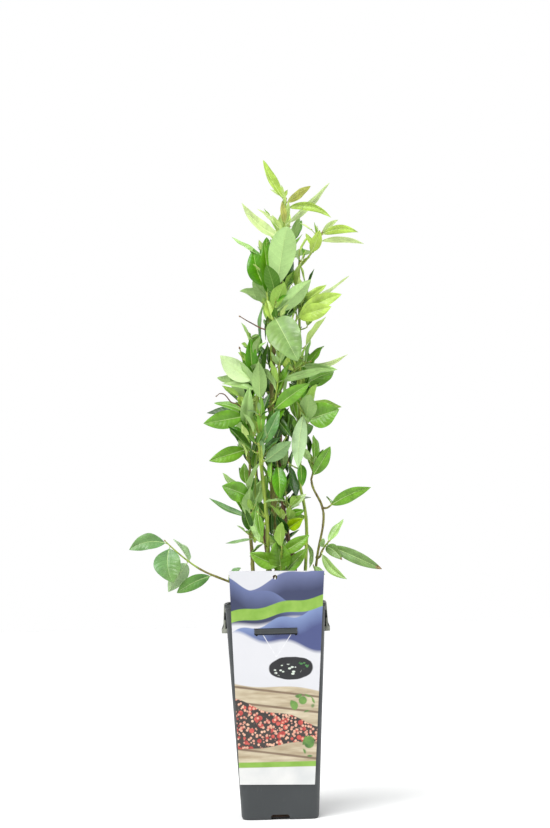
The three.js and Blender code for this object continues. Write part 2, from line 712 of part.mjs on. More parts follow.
// ---------------------------------------------------------------- leaves
// A leaf's own frame: chord to the tip, the upper face's normal, and the side.
function leafFrame(chord, roll) {
  const face = UP.clone().addScaledVector(chord, -UP.dot(chord)).normalize();
  const side = new THREE.Vector3().crossVectors(chord, face);
  face.multiplyScalar(Math.cos(radians(roll))).addScaledVector(side, Math.sin(radians(roll)));
  return { chord, face, side: side.crossVectors(chord, face) };
}

function bladeHalf(leaf, t) {
  if (t < LEAF.petiole) {
    return LEAF.stalkHalf;
  }
  const u = (t - LEAF.petiole) / (1 - LEAF.petiole);
  return LEAF.stalkHalf * (1 - u) + leaf.half * Math.sin(Math.PI * u ** LEAF.widest) ** LEAF.fullness;
}

// The point a part t along the leaf and a part s of the half width aside.
function bladePoint(leaf, t, s, lift = 0) {
  const half = bladeHalf(leaf, t) * s;
  const rise = leaf.bow * leaf.length * 4 * t * (1 - t) + Math.abs(half) * Math.sin(leaf.fold) + lift;
  return leaf.root.clone()
    .addScaledVector(leaf.frame.chord, leaf.length * t)
    .addScaledVector(leaf.frame.side, half * Math.cos(leaf.fold))
    .addScaledVector(leaf.frame.face, rise);
}

// Both faces meet in a sharp edge, with the blade's thickness at its midrib.
function leafGeometry(leaf) {
  const points = [bladePoint(leaf, 0, 0), bladePoint(leaf, 1, 0)];
  const half = LEAF.thick / 2;
  for (const t of LEAF.stations) {
    points.push(
      bladePoint(leaf, t, -1),
      bladePoint(leaf, t, 0, half),
      bladePoint(leaf, t, 1),
      bladePoint(leaf, t, 0, -half),
    );
  }
  const triangles = [];
  const at = (station, k) => 2 + station * 4 + (k % 4);
  const last = LEAF.stations.length - 1;
  for (let k = 0; k < 4; k += 1) {
    triangles.push([0, at(0, k + 1), at(0, k)], [1, at(last, k), at(last, k + 1)]);
    for (let i = 0; i < last; i += 1) {
      triangles.push(
        [at(i, k), at(i + 1, k + 1), at(i + 1, k)],
        [at(i, k), at(i, k + 1), at(i + 1, k + 1)],
      );
    }
  }
  return geometryFrom(points, triangles);
}

// Points spread over the blade, for the tests of space and touch. Those in the stalk are left out.
function bladeSamples(leaf) {
  const points = [];
  for (let i = SAMPLES.first; i <= SAMPLES.along; i += 1) {
    for (let k = -SAMPLES.across; k <= SAMPLES.across; k += 1) {
      points.push(bladePoint(leaf, i / SAMPLES.along, k / SAMPLES.across));
    }
  }
  return points;
}

// ---------------------------------------------------------------- spaces
function distanceToLine(point, a, b) {
  const run = b.clone().sub(a);
  const t = THREE.MathUtils.clamp(point.clone().sub(a).dot(run) / run.lengthSq(), 0, 1);
  return point.distanceTo(a.clone().addScaledVector(run, t));
}

const masses = MASSES.map((mass) => {
  const limb = limbs.get(mass.limb);
  const foot = limb.curve.getTangent(1);
  const from = limb.curve.getPoint(1).addScaledVector(foot, GAP);
  const to = vec(mass.to);
  return { ...mass, foot, from, to, curve: bowed(from, to, mass.bow) };
});

// What has grown so far: each stem, twig and leaf as points, with the mass that it belongs to.
const claimed = [];

function claim(mass, points) {
  claimed.push({ mass, points, ball: new THREE.Sphere().setFromPoints(points) });
}

function apart(points, others, distance) {
  return points.every((p) => others.every((q) => p.distanceTo(q) > distance));
}

// A mass's space is within reach of its stem and clear of what other masses have claimed.
function inOwnSpace(mass, points) {
  if (points.some((p) => distanceToLine(p, mass.from, mass.to) > mass.reach)) {
    return false;
  }
  const ball = new THREE.Sphere().setFromPoints(points);
  const touching = (other) => other.center.distanceTo(ball.center) < other.radius + ball.radius + CLEAR.space;
  const near = claimed.filter((other) => other.mass !== mass && touching(other.ball));
  return near.every((other) => apart(points, other.points, CLEAR.space));
}

const limbPieces = [];
for (const limb of limbs.values()) {
  for (let i = 0; i < limb.steps; i += 1) {
    const t = (i + 0.5) / limb.steps;
    limbPieces.push({
      a: limb.curve.getPoint(i / limb.steps),
      b: limb.curve.getPoint((i + 1) / limb.steps),
      radius: limb.radii[0] + (limb.radii[1] - limb.radii[0]) * t,
    });
  }
}

function clearOfLimbs(point) {
  return limbPieces.every((piece) => distanceToLine(point, piece.a, piece.b) > piece.radius + CLEAR.limb);
}

// The pot and the card are kept clear too. Each is taken as a block that reaches up to its top.
function clearOfPot(point) {
  const cardOut = THREE.MathUtils.mapLinear(point.z, CARD.foot, CARD.top, CARD.footOut, CARD.topOut);
  const atCard = point.z < CARD.top + CLEAR.pot
    && point.y < CLEAR.pot - cardOut
    && Math.abs(point.x) < CARD.topHalf + CLEAR.pot;
  const inPot = point.z < POT.height + CLEAR.pot
    && Math.max(Math.abs(point.x), Math.abs(point.y)) < HANDLE.barOut + CLEAR.pot;
  return !atCard && !inPot;
}

// ---------------------------------------------------------------- growth
function fits(mass, points) {
  return inOwnSpace(mass, points) && points.every((p) => clearOfLimbs(p) && clearOfPot(p));
}

// The outer halves of two leaves of a mass stay apart. Nearer their roots they may meet.
function crosses(growth, samples) {
  const outerHalf = (points) => points.slice(Math.floor(points.length / 2));
  return growth.leaves.some((leaf) => !apart(outerHalf(samples), outerHalf(leaf.samples), CLEAR.leaf));
}

// The first free place for a root at `along` or, from there, towards the middle of the twig.
function rootPoint(growth, curve, along) {
  const step = along < 0.5 ? ROOT.step : -ROOT.step;
  const taken = (point) => growth.leaves.some((leaf) => leaf.root.distanceTo(point) < ROOT.space);
  let part = Math.min(along, ROOT.limit);
  while (taken(curve.getPoint(part))) {
    part += step;
  }
  return curve.getPoint(part);
}

// Adds a leaf where it fits. What isn't given comes from the mass's seed.
function offerLeaf(growth, curve, { along, chord, length, roll, breadth }) {
  const { mass, random } = growth;
  const leaf = {
    root: rootPoint(growth, curve, along),
    frame: leafFrame(chord, roll),
    length,
    half: (length * breadth * between(random, RULE.breadth)) / 2,
    fold: radians(between(random, RULE.fold)),
    bow: between(random, RULE.bow),
  };
  leaf.samples = bladeSamples(leaf);
  if (fits(mass, leaf.samples) && !crosses(growth, leaf.samples)) {
    growth.leaves.push(leaf);
    claim(mass, leaf.samples);
  }
}

function growLeaders(growth) {
  for (const [along, turn, lift, length, roll, breadth] of growth.mass.leaders) {
    offerLeaf(growth, growth.mass.curve, { along, chord: heading(turn, lift), length, roll, breadth });
  }
}

// The rest of the leaves, spiralling up the stem.
function growLeaves(growth) {
  const { mass, random, start } = growth;
  for (let i = 0; i < mass.leaves; i += 1) {
    const along = (i + between(random, RULE.leafPlace)) / mass.leaves;
    const turn = start + i * RULE.goldenAngle + between(random, RULE.turn);
    const chord = heading(turn, between(random, mass.lift));
    const length = mass.length * between(random, RULE.leafLength);
    const roll = between(random, RULE.leafRoll);
    offerLeaf(growth, mass.curve, { along, chord, length, roll, breadth: mass.breadth });
  }
}

// Side twigs, each with a leaf at its tip and one to each side.
function growTwigs(growth) {
  const { mass, random, start } = growth;
  for (let i = 0; i < mass.twigs; i += 1) {
    const along = (i + between(random, RULE.twigPlace)) / (mass.twigs + RULE.twigShares);
    const turn = start + RULE.twigAside + i * RULE.goldenAngle + between(random, RULE.turn);
    const from = mass.curve.getPoint(along);
    const run = heading(turn, between(random, RULE.twigLift));
    const to = from.clone().addScaledVector(run, mass.length * between(random, RULE.twigLength));
    const curve = bowed(from, to, TWIG.bow);
    const points = TWIG.samples.map((t) => curve.getPoint(t));
    const grows = fits(mass, points);
    if (grows) {
      growth.twigs.push({ curve, radii: TWIG.radii, steps: TWIG.steps });
      claim(mass, points);
    }
    for (const [part, aside] of RULE.twigLeaves) {
      const leafTurn = turn + aside + between(random, RULE.twigLeafTurn);
      const chord = heading(leafTurn, between(random, mass.lift));
      const length = mass.length * between(random, RULE.twigLeafLength);
      const roll = between(random, RULE.twigLeafRoll);
      if (grows) {
        offerLeaf(growth, curve, { along: part, chord, length, roll, breadth: mass.breadth });
      }
    }
  }
}

function massMesh({ mass, leaves, twigs }) {
  const wood = twigs.map((twig) => skin(limbRings(twig, TWIG_SIDES)));
  const body = fused([...wood, ...leaves.map(leafGeometry)]);
  return meshOf(mass.name, geometryOf(body), finish(mass.tint, 0.45));
}

const growths = masses.map((mass) => {
  const random = seeded(mass.seed);
  const stem = { curve: mass.curve, radii: STEM.radii, steps: STEM.steps, foot: mass.foot };
  claim(mass, mass.curve.getPoints(STEM.samples));
  return { mass, random, start: between(random, [0, 360]), leaves: [], twigs: [stem] };
});
for (const stage of [growLeaders, growLeaves, growTwigs]) {
  growths.forEach(stage);
}

// ---------------------------------------------------------------- the whole plant
const plant = new THREE.Group();
plant.add(pot(), soil(), card());
for (const limb of limbs.values()) {
  plant.add(limbMesh(limb));
}
for (const growth of growths) {
  plant.add(massMesh(growth));
}

export default plant;
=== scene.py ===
"""Looks of a young blueberry bush in a tall square pot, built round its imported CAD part.

Lengths are in millimetres until a mesh is made, and +Z is up. The card hangs on the -Y side.
"""

import json
import math

import bmesh
import bpy
import numpy as np
from mathutils import Matrix, Vector, noise


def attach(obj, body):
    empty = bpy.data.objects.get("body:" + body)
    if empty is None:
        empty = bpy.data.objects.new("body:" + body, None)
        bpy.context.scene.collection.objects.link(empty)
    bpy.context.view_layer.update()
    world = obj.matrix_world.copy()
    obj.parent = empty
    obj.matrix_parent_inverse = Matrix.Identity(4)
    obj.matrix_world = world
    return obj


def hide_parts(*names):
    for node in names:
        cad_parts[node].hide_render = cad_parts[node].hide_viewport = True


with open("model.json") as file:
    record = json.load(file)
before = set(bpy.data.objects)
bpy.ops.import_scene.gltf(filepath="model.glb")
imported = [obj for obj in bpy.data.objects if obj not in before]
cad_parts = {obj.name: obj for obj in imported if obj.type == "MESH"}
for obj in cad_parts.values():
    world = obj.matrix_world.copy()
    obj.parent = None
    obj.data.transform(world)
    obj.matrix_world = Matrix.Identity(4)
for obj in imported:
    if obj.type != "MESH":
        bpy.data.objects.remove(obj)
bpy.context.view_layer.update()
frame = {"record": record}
SLOT_OF = {part["node"]: part["material_slot"] for part in frame["record"]["subparts"]}

MM = 0.001
GAP = 0.3  # clearance between the part's solids
SOIL_TOP = 194
GROUND = SOIL_TOP + GAP

# ---------------------------------------------------------------- the part's limbs and masses
# Limbs: the name, the radii at the two ends and the points. A point with no height is on the ground.
LIMBS = [
    ("centre_stem", (3.1, 1.5), [(2, 5), (4, 5, 250), (0, 3, 320), (1, 7, 411), (9, 7, 500), (19, 4, 569)]),
    ("left_stem", (2.6, 1.5), [(-7, -12), (-6, -12, 281), (-10, -12, 337), (-13, -12, 384), (-13, -12, 417)]),
    ("right_stem", (2.4, 1.3), [(27, -7), (33, -6, 282), (27, -6, 332), (29, 0, 389), (31, 4, 470),
     (32, 0, 543)]),
    ("woody_stem", (2.6, 1.4), [(19, 15), (20, 15, 244), (13, 22, 280), (9, 31, 335), (10, 34, 412),
     (10, 32, 462)]),
    ("outer_right_stem", (1.7, 1.1), [(35, 10), (43, 10, 251), (50, 8, 285), (49, 5, 303), (41, 2, 320),
     (39, 0, 329)]),
    ("outer_left_stem", (2.1, 1.3), [(-20, 12), (-22, 14, 250), (-24, 14, 300), (-22, 9, 346)]),
    ("trailing_branch", (1.8, 1.1),
     [(-14, 1), (-19, 0, 212), (-32, -2, 224), (-46, -6, 230), (-60, -10, 236)]),
    ("back_stem", (2.2, 1.3), [(2, 24), (-6, 27, 250), (-14, 31, 310), (-18, 34, 372)]),
]
# Boughs: the name, the limb that each leaves, how far along it, the radii, the tip and the bow.
BOUGHS = [
    ("bough_upper_left", "centre_stem", 0.74, (1.3, 1), (0, -2, 512), (-4, -3, 4)),
    ("bough_upper_front", "centre_stem", 0.66, (1.4, 1), (4, -20, 482), (-2, -6, -2)),
    ("bough_upper_right", "right_stem", 0.74, (1.3, 1), (27, -9, 486), (0, -3, -2)),
    ("bough_mid_right", "centre_stem", 0.6, (1.3, 1), (15, -8, 430), (3, -3, -3)),
    ("bough_centre_high", "left_stem", 0.86, (1.3, 1), (5, -17, 408), (0, -2, -4)),
    ("bough_right", "right_stem", 0.54, (1.3, 1), (35, -9, 379), (2, -3, -2)),
    ("bough_centre", "centre_stem", 0.36, (1.5, 1), (7, -14, 331), (2, -4, -4)),
    ("bough_left_inner", "left_stem", 0.56, (1.3, 1), (-9, -22, 345), (1, -2, -3)),
    ("bough_left_low", "left_stem", 0.27, (1.4, 1), (-19, -15, 268), (-2, -1, -3)),
    ("bough_fork", "woody_stem", 0.2, (1.6, 1.1), (14, -3, 270), (2, -2, 0)),
    ("bough_right_far", "outer_right_stem", 0.57, (1.1, 0.9), (55, 1, 301), (0, 0, -1)),
    ("bough_right_low", "outer_right_stem", 0.2, (1.2, 1), (47, 1, 256), (1, -2, -2)),
    ("bough_base", "centre_stem", 0.1, (1.4, 1), (5, -15, 226), (1, -3, -2)),
    ("bough_back_high", "centre_stem", 0.82, (1.3, 1), (15, 24, 532), (0, 4, -3)),
    ("bough_back_right", "woody_stem", 0.62, (1.4, 1), (27, 36, 376), (3, 1, -4)),
    ("bough_back_low", "back_stem", 0.22, (1.4, 1), (4, 40, 258), (2, 2, -3)),
]
STEEP = (45, 82)  # lift of the seeded leaves where the shoots are drawn together
LOOSE = (10, 60)
USUAL = dict(twigs=0, lift=STEEP)  # in masses that say nothing else
# Each mass grows on a stem from the tip of its limb. A leader is a leaf that is given: its place along the
# stem, heading, lift, length, roll, breadth and tone and, where they aren't plain, its sway and outline.
MASSES = [
    dict(name="top_tuft", limb="centre_stem", to=(21, 2, 613), bow=(-2, 0, 0), reach=62, seed=11, leaves=4,
         fine=2, length=26, breadth=0.24, palette="lime pale lime", leaders=[
             (0.95, 193, 62, 48, -72, 0.24, "lime", 0.09), (0.95, 17, 35, 33, 120, 0.3, "olive"),
             (0.39, 353, 42, 63, 145, 0.16, "pale"), (0.79, 341, -15, 50, 115, 0.2, "lime", 0.17),
             (0.09, 191, 40, 57, -77, 0.22, "pale", 0.12), (0.21, 160, 44, 40, -31, 0.2, "pale"),
             (0.39, 260, 60, 25, -148, 0.3, "olive"),
         ]),
    dict(name="upper_left", limb="bough_upper_left", to=(-1, -6, 557), bow=(-3, 0, 0), reach=60, seed=12,
         leaves=6, length=38, breadth=0.36, palette="bright green lime", leaders=[
             (0.03, 258, 77, 56, -167, 0.28, "bright"), (0.21, 190, 74, 43, -100, 0.5, "bright", 0.08),
             (0.91, 163, 34, 42, -31, 0.2, "soft", 0.05),
         ]),
    dict(name="upper_right", limb="right_stem", to=(56, -2, 577), bow=(3, 0, -4), reach=52, seed=13,
         leaves=4, fine=2, length=26, breadth=0.26, palette="lime pale bright", leaders=[
             (0.44, 305, 52, 28, 148, 0.42, "lime"), (0.95, 351, 2, 38, 110, 0.27, "lime", 0.13),
             (0.79, 6, -3, 47, 130, 0.17, "pale", 0.12), (0.95, 25, 42, 28, 102, 0.24, "pale", 0.09),
             (0.08, 252, -67, 27, -20, 0.36, "lime"),
         ]),
    dict(name="upper_front", limb="bough_upper_front", to=(9, -27, 517), bow=(0, -3, 0), reach=76, seed=14,
         leaves=4, length=34, breadth=0.48, palette="deep lime bright", leaders=[
             (0.95, 347, 79, 66, -77, 0.44, "soft", 0, (0.95, 0.62)),
             (0.29, 316, -57, 58, 51, 0.62, "mellow", 0, (0.52, 0.8)), (0.28, 349, 40, 50, -83, 0.42, "soft"),
         ]),
    dict(name="upper_right_low", limb="bough_upper_right", to=(36, -9, 508), bow=(0, -2, 0), reach=56,
         seed=15, leaves=6, length=32, breadth=0.38, palette="lime soft bright", leaders=[
             (0.95, 7, 29, 54, 162, 0.2, "pale"), (0.07, 350, 28, 53, 95, 0.34, "lime", 0.04),
             (0.02, 333, 14, 40, 97, 0.45, "lime"), (0.02, 303, -81, 43, 33, 0.3, "pale"),
         ]),
    dict(name="mid_left_high", limb="left_stem", to=(-18, -9, 466), bow=(-3, 0, 0), reach=56, seed=16,
         leaves=6, twigs=1, length=36, breadth=0.45, palette="green bright soft", leaders=[
             (0.28, 254, 75, 41, -158, 0.36, "bright"), (0.2, 202, 36, 45, 77, 0.46, "pale"),
             (0.02, 164, 14, 37, -46, 0.25, "soft"),
         ]),
    dict(name="centre_high", limb="bough_centre_high", to=(11, -17, 462), bow=(2, -3, 0), reach=56, seed=36,
         leaves=9, length=36, breadth=0.4, palette="green bright deep", leaders=[
             (0.33, 347, 12, 54, 113, 0.15, "soft"),
         ]),
    dict(name="mid_right", limb="bough_mid_right", to=(40, -14, 446), bow=(0, -2, 3), reach=54, seed=17,
         leaves=8, fine=2, length=34, breadth=0.34, palette="green soft bright", leaders=[
             (0.66, 347, -8, 37, 108, 0.27, "soft"), (0.72, 6, 13, 47, 129, 0.16, "pale", -0.06),
         ]),
    dict(name="right_cluster", limb="bough_right", to=(29, -17, 412), bow=(4, -2, 0), reach=54, seed=18,
         leaves=9, twigs=1, length=36, breadth=0.5, palette="deep green bright", leaders=[
             (0.25, 343, 16, 36, 95, 0.74, "green"), (0.55, 246, -71, 61, 155, 0.25, "cool_pale"),
             (0.03, 288, -78, 31, 19, 0.36, "deep"),
         ]),
    dict(name="mid_left", limb="outer_left_stem", to=(-25, 0, 401), bow=(-3, 0, 0), reach=58, seed=19,
         leaves=7, twigs=1, length=36, breadth=0.44, palette="bright green lime", leaders=[
             (0.28, 197, -16, 42, -85, 0.4, "green"), (0.88, 188, -9, 43, -89, 0.42, "green"),
             (0.68, 281, 58, 46, 167, 0.3, "soft"), (0.95, 162, 18, 35, -54, 0.28, "green"),
             (0.4, 258, 57, 26, -165, 0.36, "bright"),
         ]),
    dict(name="left_inner", limb="bough_left_inner", to=(-10, -26, 396), bow=(0, -2, 0), reach=44, seed=40,
         leaves=5, length=34, breadth=0.36, palette="green deep cool", leaders=[
             (0.02, 344, 34, 36, -81, 0.4, "cool"), (0.34, 357, 63, 40, 93, 0.36, "cool_deep"),
             (0.05, 31, 60, 35, 63, 0.4, "cool_deep"), (0.52, 279, 85, 42, 171, 0.22, "green"),
         ]),
    dict(name="centre", limb="bough_centre", to=(3, -15, 402), bow=(-2, -2, 0), reach=54, seed=20, leaves=10,
         twigs=1, length=36, breadth=0.44, palette="deep green bright", leaders=[
             (0.95, 334, 31, 47, 104, 0.36, "green"), (0.19, 281, -77, 36, 12, 0.42, "bright"),
             (0.11, 335, -59, 36, 68, 0.42, "green"), (0.95, 329, -51, 31, 65, 0.32, "deep"),
             (0.5, 334, 68, 24, 134, 0.26, "deep"),
         ]),
    dict(name="left_low", limb="bough_left_low", to=(-23, -12, 320), bow=(-3, -1, 0), reach=52, seed=43,
         leaves=6, twigs=1, fine=2, length=34, breadth=0.46, palette="green bright soft", leaders=[
             (0.87, 204, 21, 31, -99, 0.7, "green"), (0.48, 169, 26, 46, -45, 0.2, "cool", 0.07),
             (0.08, 160, -8, 30, -43, 0.2, "cool"), (0.13, 52, 78, 36, 39, 0.26, "green"),
             (0.57, 313, -66, 33, -134, 0.27, "soft"), (0.08, 180, 71, 28, -90, 0.4, "deep"),
         ]),
    dict(name="centre_low", limb="bough_fork", to=(13, -12, 316), bow=(2, -2, 0), reach=46, seed=22,
         leaves=8, twigs=1, length=28, breadth=0.42, lift=LOOSE, palette="green bright lime", leaders=[
             (0.66, 338, 34, 25, -77, 0.34, "pale"), (0.22, 317, 25, 23, 111, 0.6, "sunlit"),
             (0.09, 227, 49, 25, -129, 0.44, "deep"), (0.53, 324, 11, 21, 108, 0.42, "green"),
             (0.46, 186, 22, 20, -72, 0.42, "green"), (0.83, 204, -4, 25, -13, 0.3, "soft"),
             (0.85, 169, 32, 25, 96, 0.44, "green"),
         ]),
    dict(name="right_side", limb="outer_right_stem", to=(42, -3, 350), bow=(2, 0, 0), reach=48, seed=23,
         leaves=4, fine=1, length=28, breadth=0.42, palette="green bright", leaders=[
             (0.12, 328, 53, 37, 127, 0.4, "green"),
         ]),
    dict(name="right_far", limb="bough_right_far", to=(62, 0, 307), bow=(0, 0, -1), reach=46, seed=24,
         leaves=1, fine=0, length=24, breadth=0.36, lift=LOOSE, palette="green bright", leaders=[
             (0.08, 349, 23, 47, 109, 0.28, "green", 0.07),
         ]),
    dict(name="right_low", limb="bough_right_low", to=(55, -4, 267), bow=(0, 0, 2), reach=60, seed=25,
         leaves=4, fine=0, length=28, breadth=0.36, lift=LOOSE, palette="green soft", leaders=[
             (0.47, 315, -31, 27, 73, 0.44, "tipped", 0.08), (0.67, 347, -25, 61, 85, 0.22, "tipped"),
             (0.02, 330, -44, 39, 88, 0.26, "soft", -0.1),
         ]),
    dict(name="base", limb="bough_base", to=(8, -22, 264), bow=(1, -2, 0), reach=48, seed=26, leaves=8,
         twigs=1, length=32, breadth=0.5, palette="green bright deep", leaders=[
             (0.26, 257, 70, 36, -166, 0.62, "green"), (0.81, 344, 31, 33, 99, 0.4, "green"),
             (0.47, 187, 24, 34, -93, 0.5, "green"), (0.21, 4, 45, 38, 87, 0.36, "green"),
         ]),
    dict(name="trailing_left", limb="trailing_branch", to=(-107, -14, 271), bow=(2, 0, -9), reach=60,
         seed=27, leaves=1, fine=0, length=32, breadth=0.5, lift=LOOSE, palette="cool cool_pale", leaders=[
             (0.02, 193, -24, 40, -85, 0.38, "cool_deep", -0.03),
             (0.95, 189, -7, 39, -74, 0.42, "cool", -0.12), (0.95, 283, -71, 38, 14, 0.8, "cool", -0.1),
             (0.55, 164, -54, 37, 77, 0.5, "cool_pale"), (0.02, 20, 5, 18, 88, 0.5, "cool"),
         ]),
    dict(name="back_high", limb="bough_back_high", to=(17, 32, 580), bow=(0, 4, 0), reach=58, seed=31,
         leaves=11, twigs=1, length=40, breadth=0.34, palette="bright lime green", leaders=[
             (1, 80, 62, 44, 0, 0.3, "lime"), (0.5, 120, 25, 46, 30, 0.36, "bright"),
             (0.4, 40, 20, 46, -30, 0.34, "green"),
         ]),
    dict(name="back_mid", limb="woody_stem", to=(8, 34, 520), bow=(0, 5, 0), reach=60, seed=32, leaves=16,
         twigs=2, length=46, breadth=0.45, palette="green bright deep", leaders=[
             (0.8, 150, 25, 48, 40, 0.45, "green"), (0.6, 60, 20, 48, -20, 0.4, "green"),
             (0.2, 95, -5, 44, 0, 0.45, "bright"),
         ]),
    dict(name="back_left", limb="back_stem", to=(-20, 38, 436), bow=(-3, 2, 0), reach=60, seed=33, leaves=15,
         twigs=2, length=44, breadth=0.45, palette="green bright deep", leaders=[
             (0.8, 140, 20, 48, 40, 0.45, "green"), (0.4, 170, 5, 46, -40, 0.4, "deep"),
             (0.2, 110, -15, 42, 0, 0.5, "green"),
         ]),
    dict(name="back_right", limb="bough_back_right", to=(33, 38, 438), bow=(3, 2, 0), reach=60, seed=34,
         leaves=15, twigs=2, length=44, breadth=0.45, palette="green deep bright", leaders=[
             (0.8, 40, 22, 48, 50, 0.45, "green"), (0.4, 15, 5, 44, -40, 0.4, "bright"),
             (0.2, 80, -15, 42, 0, 0.5, "deep"),
         ]),
    dict(name="back_low", limb="bough_back_low", to=(6, 44, 312), bow=(1, 3, 0), reach=58, seed=35,
         leaves=12, twigs=2, length=42, breadth=0.45, lift=LOOSE, palette="deep green bright", leaders=[
             (0.8, 120, 20, 44, 30, 0.45, "green"), (0.5, 50, 10, 46, -30, 0.4, "cool"),
             (0.2, 90, -25, 38, 0, 0.5, "green"),
         ]),
]
# Leaves on stalks of their own: the limb, the leaf's foot and tip, and its roll, breadth and tone.
# Those in the deep tone fill dark gaps in the crown and stand in for its shade, as painted shade.
SHOOTS = [
    ("left_stem", (-9, -19, 356), (10, -22, 371), 40, 0.46, "cool_deep"),
    ("centre_stem", (11, -12, 405), (17, -16, 373), 10, 0.32, "deep"),
    ("right_stem", (17, -20, 345), (24, -24, 310), 0, 0.5, "deep"),
    ("right_stem", (29, -10, 346), (30, -13, 322), 0, 0.45, "bright"),
    ("right_stem", (35, 0, 377), (37, -3, 350), -20, 0.36, "deep"),
    ("right_stem", (34, -4, 548), (30, -8, 517), 0, 0.3, "lime"),
    ("right_stem", (30, -8, 509), (21, -12, 482), 20, 0.34, "lime"),
    ("centre_stem", (-7, -6, 410), (-4, -9, 438), 0, 0.4, "deep"),
    ("centre_stem", (14, -14, 409), (20, -18, 439), 20, 0.34, "green"),
    ("left_stem", (-6, -4, 432), (-1, -6, 468), 0, 0.34, "deep"),
    ("left_stem", (0, -18, 353), (-2, -20, 327), 0, 0.3, "green"),
    ("right_stem", (31, -8, 504), (59, -14, 523), 70, 0.34, "lime"),
    ("centre_stem", (16, -4, 510), (26, -8, 538), 0, 0.36, "bright"),
    ("trailing_branch", (-45, -8, 235), (-33, -12, 243), 60, 0.5, "cool"),
    ("centre_stem", (11, -10, 339), (8, -14, 369), 0, 0.36, "green"),
    ("left_stem", (-15, -21, 297), (-11, -26, 272), 0, 0.4, "green"),
    ("right_stem", (26, -12, 269), (13, -18, 254), 70, 0.42, "deep"),
    ("outer_right_stem", (39, 2, 243), (50, -4, 234), 60, 0.34, "soft"),
    ("outer_left_stem", (-26, -5, 361), (-29, -9, 386), 0, 0.42, "lime"),
    ("outer_left_stem", (-23, -4, 357), (-22, -8, 375), 20, 0.44, "bright"),
    ("outer_left_stem", (-25, -3, 352), (-31, -7, 368), -20, 0.42, "lime"),
    ("right_stem", (32, 4, 268), (35, 6, 241), 0, 0.3, "green"),
    ("left_stem", (-10, -19, 267), (-24, -20, 254), 0, 0.62, "green"),
    ("centre_stem", (-5, -4, 507), (-8, -5, 468), 0, 0.3, "cool"),
    ("right_stem", (33, -4, 558), (43, -5, 574), 20, 0.4, "lime"),
    ("right_stem", (33, -5, 546), (37, -6, 528), 0, 0.34, "lime"),
    ("left_stem", (-30, -4, 414), (-48, -6, 425), 40, 0.36, "bright"),
    ("centre_stem", (19, 3, 378), (16, 1, 336), 0, 0.3, "deep"),
    ("right_stem", (25, -8, 364), (19, -9, 332), 0, 0.34, "cool_deep"),
    ("centre_stem", (-1, -2, 464), (0, -3, 441), 0, 0.36, "deep"),
    ("left_stem", (-5, -4, 336), (-6, -5, 315), 0, 0.4, "green"),
    ("centre_stem", (-1, -4, 298), (-2, -5, 275), 0, 0.4, "deep"),
    ("centre_stem", (11, -2, 496), (6, -4, 534), 0, 0.36, "deep"),
    ("centre_stem", (2, -3, 500), (-3, -5, 470), 20, 0.34, "deep"),
]
# Bare twigs: the name, the look, the radii and the points.
BARE_TWIGS = [
    ("curled_twig", "old_wood", (0.75, 0.4),
     [(-25, 0, 398), (-33, -8, 406), (-39, -8, 408), (-45, -8, 415.5), (-50, -8, 417), (-53, -8, 415)]),
    ("green_stub", "green_stem", (0.9, 0.6),
     [(-16, -10, 447), (-26, -8, 451), (-29, -8, 461)]),
    ("dry_spur", "old_wood", (0.8, 0.5),
     [(4, -19, 480), (-5, -14, 480), (-17, -8, 487), (-27.5, -8, 493.5)]),
    ("slender_shoot", "green_stem", (1.0, 0.6),
     [(-7.5, -11, 292), (-16.6, -8, 310), (-16, -8, 340), (-14, -10, 356)]),
]
SHOOT = dict(radii=(0.8, 0.6), bow=(0, 0, -1), drop=5, seed=41)
# Leaves that limbs bear themselves, drawn up close, so that the crown is closed round its stems.
# Their palettes lean on the deep tone, a darker green that paints the shade inside the crown.
CLOTHED = [
    dict(limb="centre_stem", part=(0.4, 0.97), leaves=46, seed=51, palette="deep deep bright green"),
    dict(limb="left_stem", part=(0.5, 1), leaves=22, seed=52, palette="green deep bright"),
    dict(limb="right_stem", part=(0.38, 0.98), leaves=40, seed=53, palette="deep green lime deep"),
    dict(limb="woody_stem", part=(0.45, 1), leaves=24, seed=54, palette="deep"),
    dict(limb="back_stem", part=(0.45, 1), leaves=18, seed=55, palette="deep"),
    dict(limb="outer_left_stem", part=(0.55, 1), leaves=10, seed=56, palette="green bright"),
]
CLOSE = dict(lift=(45, 78), aside=(-40, 40), stalk=(4, 9), stalk_lift=(10, 40), length=(22, 42),
             breadth=(0.3, 0.46), roll=(-50, 50), free_rows=2, clear=1.0)

LIMB_STEPS, BOUGH_STEPS, STEM_STEPS = 12, 5, 12  # straight pieces that stand for each in the clearances
STEM_TIP = 0.9  # radius of the stem in each mass
TWIG_RADII = (1.0, 0.7)
TWIG_BOW = (0, 0, -2)
TWIG_SAMPLES = (0.4, 0.6, 0.8, 1)
PETIOLE = 0.08  # part of a leaf's length that is stalk
STALK_HALF = 0.8
SOLID_WIDEST = 0.86  # the solids' leaf outline
SOLID_FULLNESS = 0.85
RULE = dict(
    golden_angle=137.5, turn=(-20, 20), breadth=(0.92, 1.08), fold=(8, 28), bow=(-0.03, 0.09),
    leaf_place=(0.3, 0.7), leaf_length=(0.7, 1.05), leaf_roll=(-60, 60),
    twig_place=(0.4, 0.8), twig_shares=0.2, twig_aside=70, twig_lift=(30, 65), twig_length=(0.4, 0.6),
    twig_leaves=((1, 0), (0.85, 75), (0.6, -80)), twig_leaf_turn=(-15, 15),
    twig_leaf_length=(0.6, 0.9), twig_leaf_roll=(-50, 50),
)
ROOT_LIMIT, ROOT_SPACE, ROOT_STEP = 0.95, 1.6, 0.02
SAMPLES_ALONG, SAMPLES_FIRST, SAMPLES_ACROSS = 16, 2, 4
CLEAR_LIMB, CLEAR_SPACE, CLEAR_LEAF, CLEAR_POT = 1.9, 3.2, 1.8, 2
CARD_FOOT, CARD_TOP = 34, 240
CARD_FOOT_OUT, CARD_TOP_OUT = 40.6, 57.2  # the card's front face, from the axis
CARD_FOOT_HALF, CARD_TOP_HALF = 36.3, 46
